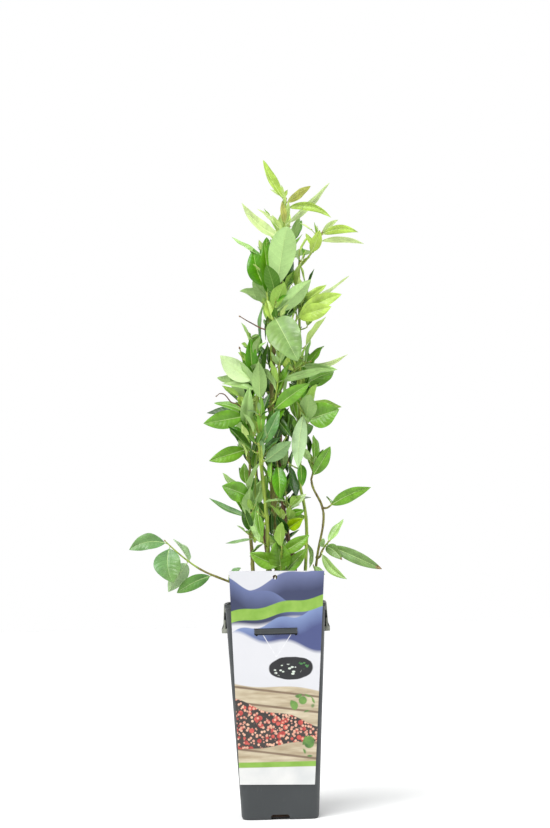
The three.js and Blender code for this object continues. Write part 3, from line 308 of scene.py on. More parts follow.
POT_HEIGHT, BAR_OUT = 208, 53.2

# Finer growth that the solids leave out: small side shoots with young leaves.
FINE = dict(space=14, aside=200, lift=(20, 70), run=(5, 12), length=(8, 19), roll=(-60, 60),
            radii=(0.6, 0.35))
FINE_LEAVES = ((1, 0), (0.8, 100), (0.55, -100), (0.3, 60))


# ---------------------------------------------------------------- vectors and curves
UP = np.array((0.0, 0.0, 1.0))


def unit(v):
    return v / np.linalg.norm(v)


def seeded(seed):
    """The part's own generator (mulberry32): the same numbers for the same seed."""
    state = seed
    mask = 0xFFFFFFFF

    def draw():
        nonlocal state
        state = (state + 0x6D2B79F5) & mask
        t = ((state ^ (state >> 15)) * (state | 1)) & mask
        t ^= (t + ((t ^ (t >> 7)) * (t | 61) & mask)) & mask
        return ((t ^ (t >> 14)) & mask) / (mask + 1)

    return draw


def between(random, ends):
    return ends[0] + (ends[1] - ends[0]) * random()


def heading(turn, lift):
    """The direction with a heading in plan and a lift over the level, in degrees."""
    flat = math.cos(math.radians(lift))
    turn = math.radians(turn)
    return np.array((math.cos(turn) * flat, math.sin(turn) * flat, math.sin(math.radians(lift))))


class Curve:
    """A curve with a point and a tangent at each part t of it, from 0 to 1."""

    def tangent(self, t, step=1e-4):
        return unit(self.point(min(1, t + step)) - self.point(max(0, t - step)))


class Spline(Curve):
    """Catmull-Rom through the points."""

    def __init__(self, points):
        p = np.array(points, float)
        self.points = np.vstack([2 * p[0] - p[1], p, 2 * p[-1] - p[-2]])

    def point(self, t):
        spans = len(self.points) - 3
        i = min(int(t * spans), spans - 1)
        w = t * spans - i
        before, a, b, after = self.points[i:i + 4]
        leave, reach = (b - before) / 2, (after - a) / 2
        square, cube = 3 * (b - a) - 2 * leave - reach, 2 * (a - b) + leave + reach
        return a + leave * w + square * w**2 + cube * w**3


class Bowed(Curve):
    """From a to b, bowed off the straight line."""

    def __init__(self, a, b, bow):
        self.a, self.b = np.array(a, float), np.array(b, float)
        self.middle = (self.a + self.b) / 2 + np.array(bow)

    def point(self, t):
        return (1 - t) ** 2 * self.a + 2 * (1 - t) * t * self.middle + t * t * self.b


def limb_curves():
    """Every limb of the part by name, with its curve."""
    limbs = {}
    for name, radii, points in LIMBS:
        curve = Spline([(*p, GROUND)[:3] for p in points])
        limbs[name] = dict(name=name, radii=radii, curve=curve, steps=LIMB_STEPS, grounded=True)
    for name, limb, part, radii, tip, bow in BOUGHS:
        parent = limbs[limb]
        axis, along = parent["curve"].point(part), parent["curve"].tangent(part)
        away = np.array(tip) + np.array(bow) - axis
        aside = unit(away - along * (away @ along))
        start = axis + aside * (np.interp(part, (0, 1), parent["radii"]) + GAP)
        curve = Bowed(start, tip, bow)
        limbs[name] = dict(name=name, radii=radii, curve=curve, steps=BOUGH_STEPS, grounded=False, axis=axis)
    return limbs


LIMB = limb_curves()


# ---------------------------------------------------------------- growth by the part's rule
def leaf_frame(chord, roll):
    """The leaf's chord, its upper face's normal and its side."""
    face = unit(UP - chord * chord[2])
    side = np.cross(chord, face)
    face = face * math.cos(math.radians(roll)) + side * math.sin(math.radians(roll))
    return chord, face, np.cross(chord, face)


def solid_samples(leaf):
    """Test points on the leaf as the solids have it."""
    t = np.arange(SAMPLES_FIRST, SAMPLES_ALONG + 1) / SAMPLES_ALONG
    s = np.arange(-SAMPLES_ACROSS, SAMPLES_ACROSS + 1) / SAMPLES_ACROSS
    u = (t - PETIOLE) / (1 - PETIOLE)
    blade = np.sin(np.pi * u**SOLID_WIDEST).clip(0) ** SOLID_FULLNESS
    half = (STALK_HALF * (1 - u) + leaf["half"] * blade)[:, None] * s
    rise = (leaf["bow"] * leaf["length"] * 4 * t * (1 - t))[:, None] + abs(half) * math.sin(leaf["fold"])
    chord, face, side = leaf["frame"]
    points = leaf["root"] + (chord * leaf["length"]) * t[:, None, None]
    points = points + side * (half * math.cos(leaf["fold"]))[..., None] + face * rise[..., None]
    return points.reshape(-1, 3)


def new_leaf(random, root, chord, length, roll, breadth, tone=None, sway=0, outline=None):
    """A leaf of this heading and size, with its own breadth, fold and bow."""
    leaf = dict(root=root, frame=leaf_frame(chord, roll), length=length)
    leaf.update(tone=tone, sway=sway, outline=outline)
    leaf["half"] = length * breadth * between(random, RULE["breadth"]) / 2
    leaf["fold"] = math.radians(between(random, RULE["fold"]))
    leaf["bow"] = between(random, RULE["bow"])
    leaf["samples"] = solid_samples(leaf)
    return leaf


def line_distances(points, starts, ends):
    """The distance from each point, by row, to each straight piece, by column."""
    run = ends - starts
    t = np.einsum("pmk,mk->pm", points[:, None] - starts, run) / (run**2).sum(1)
    nearest = starts + run * t.clip(0, 1)[..., None]
    return np.linalg.norm(points[:, None] - nearest, axis=2)


def limb_pieces():
    """Every limb as straight pieces: starts, ends and radii."""
    starts, ends, radii = [], [], []
    for limb in LIMB.values():
        steps = limb["steps"]
        for i in range(steps):
            starts.append(limb["curve"].point(i / steps))
            ends.append(limb["curve"].point((i + 1) / steps))
            radii.append(np.interp((i + 0.5) / steps, (0, 1), limb["radii"]))
    return np.array(starts), np.array(ends), np.array(radii)


PIECES = limb_pieces()


def clear_of_limbs(points):
    starts, ends, radii = PIECES
    return bool((line_distances(points, starts, ends) > radii + CLEAR_LIMB).all())


def clear_of_pot(points):
    x, y, z = points.T
    slope = (CARD_TOP_OUT - CARD_FOOT_OUT) / (CARD_TOP - CARD_FOOT)
    card_out = CARD_FOOT_OUT + (z - CARD_FOOT) * slope
    at_card = (z < CARD_TOP + CLEAR_POT) & (y < CLEAR_POT - card_out) & (abs(x) < CARD_TOP_HALF + CLEAR_POT)
    in_pot = (z < POT_HEIGHT + CLEAR_POT) & (np.maximum(abs(x), abs(y)) < BAR_OUT + CLEAR_POT)
    return not (at_card | in_pot).any()


def apart(points, others, distance):
    return bool((np.linalg.norm(points[:, None] - others, axis=2) > distance).all())


CLAIMED = []  # of all that has grown: whose it is, its points, and the middle and radius of a ball round them


def ball_round(points):
    middle = (points.min(0) + points.max(0)) / 2
    return middle, np.linalg.norm(points - middle, axis=1).max()


def claim(name, points):
    CLAIMED.append((name, points, *ball_round(points)))


def unclaimed(points, distance, name=None):
    """Whether the points keep the distance from all that has grown, but for what the name has claimed."""
    middle, ball = ball_round(points)
    for owner, others, centre, radius in CLAIMED:
        near = np.linalg.norm(middle - centre) < ball + radius + distance
        if owner != name and near and not apart(points, others, distance):
            return False
    return True


class Growth:
    """One mass of foliage while it grows: its stem, twigs and leaves."""

    def __init__(self, mass):
        limb = LIMB[mass["limb"]]
        start = limb["curve"].point(1) + limb["curve"].tangent(1) * GAP
        self.mass = dict(USUAL, **mass)
        self.limb = limb
        self.curve = Bowed(start, mass["to"], mass["bow"])
        self.random = seeded(mass["seed"])
        self.start = between(self.random, (0, 360))
        self.leaves = []
        self.twigs = []
        self.claim(np.array([self.curve.point(i / STEM_STEPS) for i in range(STEM_STEPS + 1)]))

    def claim(self, points):
        claim(self.mass["name"], points)

    def in_own_space(self, points):
        ends = np.array([self.curve.a]), np.array([self.curve.b])
        within = (line_distances(points, *ends) <= self.mass["reach"]).all()
        return within and unclaimed(points, CLEAR_SPACE, self.mass["name"])

    def fits(self, points):
        return self.in_own_space(points) and clear_of_limbs(points) and clear_of_pot(points)

    def crosses(self, samples):
        half = len(samples) // 2
        return any(not apart(samples[half:], leaf["samples"][half:], CLEAR_LEAF) for leaf in self.leaves)

    def root_point(self, curve, along):
        step = ROOT_STEP if along < 0.5 else -ROOT_STEP
        part = min(along, ROOT_LIMIT)
        roots = [leaf["root"] for leaf in self.leaves]
        while any(np.linalg.norm(root - curve.point(part)) < ROOT_SPACE for root in roots):
            part += step
        return curve.point(part)

    def offer_leaf(self, curve, along, *shape):
        """Adds a leaf where it fits. Its shape is what new_leaf takes after the root."""
        leaf = new_leaf(self.random, self.root_point(curve, along), *shape)
        if self.fits(leaf["samples"]) and not self.crosses(leaf["samples"]):
            self.leaves.append(leaf)
            self.claim(leaf["samples"])

    def grow_leaders(self):
        for along, turn, lift, *shape in self.mass["leaders"]:
            self.offer_leaf(self.curve, along, heading(turn, lift), *shape)

    def grow_leaves(self):
        mass, random = self.mass, self.random
        for i in range(mass["leaves"]):
            along = (i + between(random, RULE["leaf_place"])) / mass["leaves"]
            turn = self.start + i * RULE["golden_angle"] + between(random, RULE["turn"])
            chord = heading(turn, between(random, mass["lift"]))
            length = mass["length"] * between(random, RULE["leaf_length"])
            roll = between(random, RULE["leaf_roll"])
            self.offer_leaf(self.curve, along, chord, length, roll, mass["breadth"])

    def grow_twigs(self):
        mass, random = self.mass, self.random
        for i in range(mass["twigs"]):
            along = (i + between(random, RULE["twig_place"])) / (mass["twigs"] + RULE["twig_shares"])
            turn = self.start + RULE["twig_aside"] + i * RULE["golden_angle"] + between(random, RULE["turn"])
            start = self.curve.point(along)
            run = heading(turn, between(random, RULE["twig_lift"]))
            end = start + run * mass["length"] * between(random, RULE["twig_length"])
            twig = Bowed(start, end, TWIG_BOW)
            grows = self.add_twig(twig, TWIG_RADII)
            for part, aside in RULE["twig_leaves"]:
                leaf_turn = turn + aside + between(random, RULE["twig_leaf_turn"])
                chord = heading(leaf_turn, between(random, mass["lift"]))
                length = mass["length"] * between(random, RULE["twig_leaf_length"])
                roll = between(random, RULE["twig_leaf_roll"])
                if grows:
                    self.offer_leaf(twig, part, chord, length, roll, mass["breadth"])

    def add_twig(self, twig, radii):
        points = np.array([twig.point(t) for t in TWIG_SAMPLES])
        grows = self.fits(points)
        if grows:
            self.twigs.append((twig, radii))
            self.claim(points)
        return grows

    def grow_fine(self):
        """Small shoots up the stem, within the same reach and clearances."""
        mass, random = self.mass, self.random
        room = int(np.linalg.norm(self.curve.b - self.curve.a) / FINE["space"]) + 2
        count = mass.get("fine", room)
        for i in range(count):
            along = (i + random()) / count
            turn = self.start + FINE["aside"] + i * RULE["golden_angle"]
            start = self.curve.point(along)
            end = start + heading(turn, between(random, FINE["lift"])) * between(random, FINE["run"])
            shoot = Bowed(start, end, SHOOT["bow"])
            if not self.add_twig(shoot, FINE["radii"]):
                continue
            for part, aside in FINE_LEAVES:
                chord = heading(turn + aside, between(random, FINE["lift"]))
                length = between(random, FINE["length"])
                roll = between(random, FINE["roll"])
                self.offer_leaf(shoot, part, chord, length, roll, mass["breadth"])


def grow():
    growths = [Growth(mass) for mass in MASSES]
    for stage in (Growth.grow_leaders, Growth.grow_leaves, Growth.grow_twigs, Growth.grow_fine):
        for growth in growths:
            stage(growth)
    return growths


def nearest_point(curve, place):
    """The point of the curve that is nearest to a place."""
    points = [curve.point(t) for t in np.linspace(0.02, 1, 99)]
    return min(points, key=lambda point: np.linalg.norm(point - place))


def grow_shoots():
    """The stalks and leaves of the single shoots."""
    random = seeded(SHOOT["seed"])
    stalks, leaves = [], []
    for name, foot, tip, roll, breadth, tone in SHOOTS:
        foot, tip = np.array(foot, float), np.array(tip, float)
        start = nearest_point(LIMB[name]["curve"], foot - UP * SHOOT["drop"])
        stalks.append(Bowed(start, foot, SHOOT["bow"]))
        length = np.linalg.norm(tip - foot)
        leaf = new_leaf(random, foot, unit(tip - foot), length, roll, breadth, tone)
        leaves.append(leaf)
        claim(name, leaf["samples"])
    return stalks, leaves


def grow_close(clothed):
    """The leaves on one limb, each with a short stalk."""
    limb, random = LIMB[clothed["limb"]], seeded(clothed["seed"])
    low, high = clothed["part"]
    near_root = CLOSE["free_rows"] * (2 * SAMPLES_ACROSS + 1)
    stalks, leaves = [], []
    for i in range(clothed["leaves"]):
        start = limb["curve"].point(low + (high - low) * (i + random()) / clothed["leaves"])
        turn = i * RULE["golden_angle"] + between(random, RULE["turn"])
        stalk = heading(turn, between(random, CLOSE["stalk_lift"]))
        foot = start + stalk * between(random, CLOSE["stalk"])
        chord = heading(turn + between(random, CLOSE["aside"]), between(random, CLOSE["lift"]))
        length, roll = between(random, CLOSE["length"]), between(random, CLOSE["roll"])
        leaf = new_leaf(random, foot, chord, length, roll, between(random, CLOSE["breadth"]))
        body = leaf["samples"][near_root:]
        if clear_of_limbs(body) and clear_of_pot(body) and unclaimed(body, CLOSE["clear"]):
            stalks.append(Bowed(start, foot, SHOOT["bow"]))
            leaves.append(leaf)
            claim(clothed["limb"], leaf["samples"])
    return stalks, leaves


# ---------------------------------------------------------------- meshes
class Build:
    """Collects vertices and faces of one piece. A face is three or four indices with a material name."""

    def __init__(self):
        self.points = []
        self.faces = []
        self.looks = []
        self.sharp = []
        self.count = 0

    def add(self, points, faces, looks, sharp=None):
        points = np.asarray(points, float).reshape(-1, 3)
        offset = self.count
        self.points.append(points)
        self.faces += [tuple(i + offset for i in face) for face in faces]
        self.looks += [looks] * len(faces) if isinstance(looks, str) else list(looks)
        self.sharp.append(np.zeros(len(points), bool) if sharp is None else sharp)
        self.count += len(points)

    def piece(self, name, materials, angle=None):
        """Makes the piece, smooth but for edges whose ends are both marked sharp or that bend past angle."""
        mesh = bpy.data.meshes.new(name)
        mesh.from_pydata(np.concatenate(self.points) * MM, [], self.faces, shade_flat=False)
        names = sorted(set(self.looks))
        for look in names:
            mesh.materials.append(materials[look])
        slots = {look: i for i, look in enumerate(names)}
        mesh.polygons.foreach_set("material_index", [slots[look] for look in self.looks])
        if angle is not None:
            mesh.set_sharp_from_angle(angle=math.radians(angle))
        mark = np.concatenate(self.sharp)
        if mark.any():
            edges = np.empty(len(mesh.edges) * 2, np.int32)
            mesh.edges.foreach_get("vertices", edges)
            edges = edges.reshape(-1, 2)
            mesh.edges.foreach_set("use_edge_sharp", mark[edges].all(axis=1))
        mesh.validate()
        mesh.update()
        obj = bpy.data.objects.new(name, mesh)
        bpy.context.scene.collection.objects.link(obj)
        return obj


def grid_faces(rows, columns, wrap=False, first=0):
    """Quads between rows of points. With wrap, each row closes on itself."""
    faces = []
    for r in range(rows - 1):
        for c in range(columns if wrap else columns - 1):
            a = first + r * columns + c
            b = first + r * columns + (c + 1) % columns
            faces.append((a, b, b + columns, a + columns))
    return faces


def rings_along(curve, radii_at, parts, sides, foot=None):
    """Rings of points round a curve. radii_at(t, angle) gives each point's distance from it."""
    side = np.array((1.0, 0.0, 0.0))
    angles = np.arange(sides) * 2 * np.pi / sides
    rings = []
    for t in parts:
        along = foot if foot is not None and t == parts[0] else curve.tangent(t)
        side = unit(side - along * (side @ along))
        radius = radii_at(t, angles)
        across = np.outer(radius * np.cos(angles), side)
        over = np.outer(radius * np.sin(angles), np.cross(along, side))
        rings.append(curve.point(t) + across + over)
    return np.array(rings)


def add_tube(build, rings, look):
    """A closed skin over rings, with a fan at each end."""
    rows, sides, _ = rings.shape
    points = np.vstack([rings.reshape(-1, 3), rings[0].mean(0), rings[-1].mean(0)])
    faces = grid_faces(rows, sides, wrap=True)
    foot, tip = rows * sides, rows * sides + 1
    last = (rows - 1) * sides
    for k in range(sides):
        after = (k + 1) % sides
        faces.append((foot, after, k))
        faces.append((tip, last + k, last + after))
    build.add(points, faces, look)


# ---------------------------------------------------------------- leaves
BLADE = dict(thick=0.32, rib=0.42, rib_taper=0.8, rib_sunk=0.14, rib_under=0.1, least=0.06,
             shear=0.17, relief=0.045, arch=0.16, wave=0.09)
# What each leaf draws for itself. Its base and tip are the exponents of its outline.
OWN = dict(curl=(0.01, 0.06), twist=(-0.25, 0.25), waves=(1.4, 2.4), base=(0.64, 0.78), tip=(0.84, 1.02),
           sway=(-0.03, 0.03))
# Side veins, by part of the blade's length.
VEINS = dict(first=0.11, last=0.8, pairs=7, half=0.0045, taper=0.6, dip=-0.6)
RIB_SIDES = 6
FULL_RIB = 60  # length of a leaf that has the whole of RIB_RADII
BASE_ROWS, TIP_ROWS = (0, 0.03, 0.065), (0.87, 0.93, 0.97, 1)
ACROSS = np.array((1, 0.8, 0.54, 0.27, 0.0))  # columns from the margin to the midrib
ACROSS_RELIEF = np.array((0, 0.6, 1, 0.8, 0))
RIB_PARTS = (0, 0.04, 0.08, 0.13, 0.22, 0.33, 0.45, 0.57, 0.69, 0.8, 0.9)
RIB_RADII = (0.75, 0.55, 0.5, 0.44, 0.38, 0.32, 0.27, 0.22, 0.17, 0.12, 0.05)


def blade_rows():
    """Rows along a blade as (place, offset, swell): two for each side vein and one between veins."""
    veins = np.linspace(VEINS["first"], VEINS["last"], VEINS["pairs"])
    rows = [(place, 0, 0) for place in BASE_ROWS + TIP_ROWS]
    rows += [(vein, offset, VEINS["dip"]) for vein in veins for offset in (-VEINS["half"], VEINS["half"])]
    rows += [((low + high) / 2, 0, 1) for low, high in zip(veins, veins[1:])]
    return np.array(sorted(rows))


ROWS = blade_rows()


def blade_half(half, u, outline):
    """Half the blade's width at u, from exponents for its rounded base and its pointed tip."""
    base, tip = outline
    peak = base / (base + tip)
    return half * u**base * (1 - u) ** tip / (peak**base * (1 - peak) ** tip)


def face_look(row, column):
    """What a face of the blade shows: midrib, side vein, tip or plain blade."""
    if column == len(ACROSS) - 1:
        return "rib"
    if ROWS[row, 1] < 0:
        return "vein"
    return "tip" if row >= len(ROWS) - len(TIP_ROWS) else "blade"


def blade_faces():
    """The triangles that every blade has, the look of each, and which points are on the margin."""
    rows, columns = len(ROWS), 2 * len(ACROSS)
    upper = np.arange(rows * columns).reshape(rows, columns)
    under = upper.copy()
    under[:, 1:-1] = rows * columns + np.arange(rows * (columns - 2)).reshape(rows, -1)
    faces, looks = [], []
    for r in range(rows - 1):
        for c in range(columns - 1):
            look = face_look(r, c)
            for side, name in ((upper, "_upper"), (under, "_under")):
                a, b, d, e = side[r, c], side[r, c + 1], side[r + 1, c + 1], side[r + 1, c]
                pair = [(a, b, d), (a, d, e)]
                faces += pair if name == "_upper" else [face[::-1] for face in pair]
                looks += [look if look == "rib" else look + name] * 2
    for r, turned_over in ((0, False), (rows - 1, True)):
        for c in range(columns - 1):
            face = [upper[r, c + 1], upper[r, c], under[r, c], under[r, c + 1]]
            faces.append(tuple(dict.fromkeys(face[::-1] if turned_over else face)))
            looks.append("rib")
    margin = np.zeros(rows * (2 * columns - 2), bool)
    margin[upper[:, [0, -1]]] = True
    return [tuple(int(i) for i in f) for f in faces], looks, margin


BLADE_FACES, BLADE_LOOKS, BLADE_MARGIN = blade_faces()


class Leaf:
    """A blade's shape: what the growth gave it, with its own wave, curl and twist."""

    def __init__(self, grown, random):
        self.grown = grown
        self.curl = random.uniform(*OWN["curl"])
        self.twist = random.uniform(*OWN["twist"])
        self.phase = random.uniform(0, 2 * np.pi, 2)
        self.waves = random.uniform(*OWN["waves"])
        usual = random.uniform(*OWN["base"]), random.uniform(*OWN["tip"])
        self.outline = grown["outline"] or usual
        self.sway = grown["sway"] + random.uniform(*OWN["sway"])

    def midline(self, t):
        """Height of the midrib over the chord."""
        grown = self.grown
        bend = np.maximum(0, (t - 0.5) / 0.5) ** 2 * (1 - t) * 2
        return grown["length"] * (grown["bow"] * 4 * t * (1 - t) - self.curl * bend)

    def place(self, t, aside, height):
        """World points from parts of the length, widths off the midrib and heights over the blade."""
        chord, face, side = self.grown["frame"]
        turn = self.twist * (t - 0.5)
        across = aside * np.cos(turn) - height * np.sin(turn)
        over = aside * np.sin(turn) + height * np.cos(turn) + self.midline(t)
        length = self.grown["length"]
        swayed = self.sway * length * 4 * t * (1 - t)
        leftward = unit(np.array((-chord[2], 0, chord[0])))
        place = self.grown["root"] + (length * t)[..., None] * chord + swayed[..., None] * leftward
        return place + across[..., None] * side + over[..., None] * face

    def blade(self):
        half, fold = self.grown["half"], self.grown["fold"]
        across = np.concatenate([ACROSS, ACROSS[::-1]])
        relief = np.concatenate([ACROSS_RELIEF, ACROSS_RELIEF[::-1]])
        sign = np.repeat((-1, 1), len(ACROSS))
        place, offset, swell = (column[:, None] for column in ROWS.T)
        fullness = np.sin(np.pi * place)
        u = place + offset * (1 - VEINS["taper"] * across) + BLADE["shear"] * across**1.3 * fullness
        u = np.minimum(u, 1)
        rib = BLADE["rib"] * (1 - BLADE["rib_taper"] * u)
        width = np.maximum(blade_half(half, u, self.outline) - rib, BLADE["least"]) * across + rib
        veined = swell * relief * BLADE["relief"] * half * fullness
        arched = BLADE["arch"] * half * 2 * across * (1 - across) * fullness
        phase = np.where(sign > 0, self.phase[0], self.phase[1])
        waved = BLADE["wave"] * half * across**2 * np.sin(2 * np.pi * self.waves * u + phase) * fullness**0.5
        height = width * math.sin(fold) + veined + arched + waved
        aside = sign * width * math.cos(fold)
        t = PETIOLE + (1 - PETIOLE) * u
        thick = BLADE["thick"] / 2 * (across < 1)
        sunk = BLADE["rib_sunk"] * (across == 0)
        upper = self.place(t, aside, height + thick - sunk)
        under = self.place(t, aside, height - thick)[:, 1:-1]
        return np.vstack([upper.reshape(-1, 3), under.reshape(-1, 3)])

    def rib(self):
        """The petiole, which runs on as the midrib on the under side."""
        t = np.array(RIB_PARTS)
        radii = np.array(RIB_RADII) * min(1, 0.5 + self.grown["length"] / FULL_RIB)
        angles = np.arange(RIB_SIDES) * 2 * np.pi / RIB_SIDES
        under = np.where(t > PETIOLE, -BLADE["thick"] / 2 - BLADE["rib_under"], 0)
        aside = radii[:, None] * np.sin(angles)
        height = under[:, None] + radii[:, None] * np.cos(angles)
        return self.place(np.repeat(t[:, None], RIB_SIDES, 1), aside, height)

    def add_to(self, build, tone):
        looks = {look: f"{tone}_{look}" for look in set(BLADE_LOOKS)}
        for side in ("_upper", "_under"):
            looks["blade" + side] = tone + side
            looks["tip" + side] = "dry" if tone == "tipped" else tone + side
        build.add(self.blade(), BLADE_FACES, [looks[look] for look in BLADE_LOOKS], BLADE_MARGIN)
        add_tube(build, self.rib()[:, ::-1], looks["rib"])


# ---------------------------------------------------------------- wood
WOOD = dict(
    old_wood=dict(ridge=0.09, node=0.16, every=17, waver=0.06),
    stem=dict(ridge=0.05, node=0.18, every=15, waver=0.05),
    green_stem=dict(ridge=0.02, node=0.16, every=14, waver=0.03),
)
STEM_SIDES, STEM_STEP = 14, 1.1  # points round, and millimetres from ring to ring
TWIG_SIDES, TWIG_STEP = 8, 1.5
FLARE_PART, FLARE_FACTOR, FLARE_BEND = 0.03, 1.7, 1.5
RIDGES = (2, 3, 5, 7)  # how many of each wave of ridges go round a stem
RIDGE_STEP, RIDGE_SWING = (0.08, 0.3), 2  # they meander: radians to a millimetre, and to each side
FIRST_NODE = (0.3, 0.9)  # by part of the space between nodes
NODE = dict(reach=1.3, turn=2.4, even=0.6)  # millimetres, radians to the next, and its share all round
WAVER_STEP = 0.21
# Stems that are slimmer than their solids, by part of the foot's radius.
SLENDER = dict(left_stem=0.85, right_stem=0.68, outer_right_stem=0.72, trailing_branch=0.7)
COLLAR, SHOULDER = 1.7, 1.35  # how much wider a bough is on its limb's axis, and part of the way out
SHOULDER_PLACE = 0.65
TIP_PART = 0.7  # of a mass's stem: its tip's radius beside the solid's
BUD = dict(size=2.0, end=2.4, sides=6, lift=1.2, off=0.6)
BUD_WIDTHS = {0: 0.1, 0.15: 0.26, 0.4: 0.34, 0.7: 0.24, 0.92: 0.09, 1: 0.02}  # half, by part of the length
KNOB = 5  # length of a bare twig's end, in its radii
TWIG_SEED, STALK_SEED = 100, 300


def curve_length(curve):
    points = np.array([curve.point(t) for t in np.linspace(0, 1, 25)])
    return np.linalg.norm(np.diff(points, axis=0), axis=1).sum()


def bark_radii(radii, look, length, seed, grounded=False):
    """A function for a stem's radius, with its bark's ridges, its nodes and its flare at the ground."""
    kind = WOOD[look]
    random = np.random.default_rng(seed)
    phases = random.uniform(0, 2 * np.pi, (len(RIDGES), 2))
    steps = random.uniform(*RIDGE_STEP, len(RIDGES))
    first = random.uniform(*FIRST_NODE)

    def radius(t, angles):
        along = t * length
        base = radii[0] + (radii[1] - radii[0]) * t
        if grounded:
            base *= 1 + (FLARE_FACTOR - 1) * max(0, 1 - t / FLARE_PART) ** FLARE_BEND
        ridge = sum(
            np.sin(count * angles + phase[0] + RIDGE_SWING * np.sin(along * step + phase[1]))
            for count, phase, step in zip(RIDGES, phases, steps)
        )
        place = along / kind["every"] + first
        off = (place - round(place)) * kind["every"]
        facing = NODE["even"] + (1 - NODE["even"]) * np.cos(angles - NODE["turn"] * round(place))
        node = kind["node"] * math.exp(-((off / NODE["reach"]) ** 2)) * facing
        waver = kind["waver"] * math.sin(along * WAVER_STEP + phases[0, 0])
        return base * (1 + kind["ridge"] * ridge / 2 + node + waver)

    return radius


def stem_rings(curve, radii, look, seed, grounded=False, foot=None):
    length = curve_length(curve)
    parts = np.linspace(0, 1, int(length / STEM_STEP) + 2)
    return rings_along(curve, bark_radii(radii, look, length, seed, grounded), parts, STEM_SIDES, foot)


def twig_rings(twig, radii, look, seed, rows=None):
    length = curve_length(twig)
    parts = np.linspace(0, 1, rows or max(4, int(length / TWIG_STEP)))
    return rings_along(twig, bark_radii(radii, look, length, seed), parts, TWIG_SIDES)


def limb_piece(limb, materials):
    name, curve = limb["name"], limb["curve"]
    look = SLOT_OF[name]
    radii = (limb["radii"][0] * SLENDER.get(name, 1), limb["radii"][1])
    rings = stem_rings(curve, radii, look, len(name) * 7 + int(curve_length(curve)), limb["grounded"])
    if not limb["grounded"]:
        middle = rings[0].mean(0)
        collar = limb["axis"] + (rings[0] - middle) * COLLAR
        place = limb["axis"] * (1 - SHOULDER_PLACE) + middle * SHOULDER_PLACE
        rings = np.concatenate([[collar, place + (rings[0] - middle) * SHOULDER], rings[1:]])
    build = Build()
    add_tube(build, rings, look)
    return dress(build.piece(name + "_bark", materials), look, name)


def add_bud(build, place, direction, size, look):
    """A small pointed bud, scaled by its length."""
    bud = Bowed(place, place + direction * size, (0, 0, 0))

    def half(t, angles):
        return np.full(len(angles), BUD_WIDTHS[t] * size)

    add_tube(build, rings_along(bud, half, tuple(BUD_WIDTHS), BUD["sides"]), look)


def wood_piece(growth, materials):
    """The stem and twigs of a mass, with a bud in the axil of each leaf."""
    mass, limb = growth.mass, growth.limb
    look, young = SLOT_OF[limb["name"]], "green_stem"
    limb_end = limb["curve"].tangent(1)
    radii = (limb["radii"][1], STEM_TIP * TIP_PART)
    rings = stem_rings(growth.curve, radii, look, mass["seed"], foot=limb_end)
    sunk = rings[0] - limb_end * (GAP + 1)
    turn_green = len(rings) // 3
    build = Build()
    add_tube(build, np.concatenate([[sunk], rings[:turn_green + 1]]), look)
    add_tube(build, rings[turn_green:], young)
    for i, (twig, twig_radii) in enumerate(growth.twigs):
        add_tube(build, twig_rings(twig, twig_radii, young, mass["seed"] + TWIG_SEED + i), young)
    for leaf in growth.leaves:
        chord = leaf["frame"][0]
        direction = unit(chord + UP * BUD["lift"])
        add_bud(build, leaf["root"] + chord * BUD["off"], direction, BUD["size"], "bud")
    add_bud(build, rings[-1].mean(0), growth.curve.tangent(1), BUD["end"], "bud")
    return dress(build.piece(mass["name"] + "_twigs", materials), look, mass["name"])


def leaf_piece(name, leaves, seed, palette, materials, *nodes):
    random = np.random.default_rng(seed)
    tones = palette.split()
    build = Build()
    for grown in leaves:
        tone = grown["tone"] or tones[random.integers(len(tones))]
        Leaf(grown, random).add_to(build, tone)
    piece = build.piece(name + "_leaves", materials)
    return dress(piece, SLOT_OF[nodes[0]] if nodes else "leaves", *nodes)


def stalk_piece(name, stalks, materials):
    """Stalks with a bud where each leaf starts."""
    build = Build()
    for i, stalk in enumerate(stalks):
        add_tube(build, twig_rings(stalk, SHOOT["radii"], "green_stem", STALK_SEED + i), "green_stem")
        add_bud(build, stalk.point(1), unit(stalk.tangent(1) + UP), BUD["size"], "bud")
    return dress(build.piece(name + "_stalks", materials), "green_stem")


def bare_twigs(materials):
    """Dry and slender twigs with no leaves, each ending in a small knob."""
    for name, look, radii, points in BARE_TWIGS:
        twig = Spline(points)
        length = curve_length(twig)
        build = Build()
        add_tube(build, twig_rings(twig, radii, look, int(length), int(length / TWIG_STEP) + 2), look)
        add_bud(build, twig.point(1), twig.tangent(1), KNOB * radii[1], "dry")
        dress(build.piece(name, materials), look)


def dress(piece, slot, *nodes):
    """Everything that a finished piece is told: its body and the solids it stands for, which are hidden. slot
    is not used.
    """
    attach(piece, "root")
    if nodes:
        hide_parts(*nodes)
    return piece


# ---------------------------------------------------------------- pot
POT = dict(base_half=37.5, rim_half=48.9, wall=1.5, floor=2.2, base_corner=10, rim_corner=12,
           edge_round=3.5, edge_in=0.6, rim_band=4, rows=24)
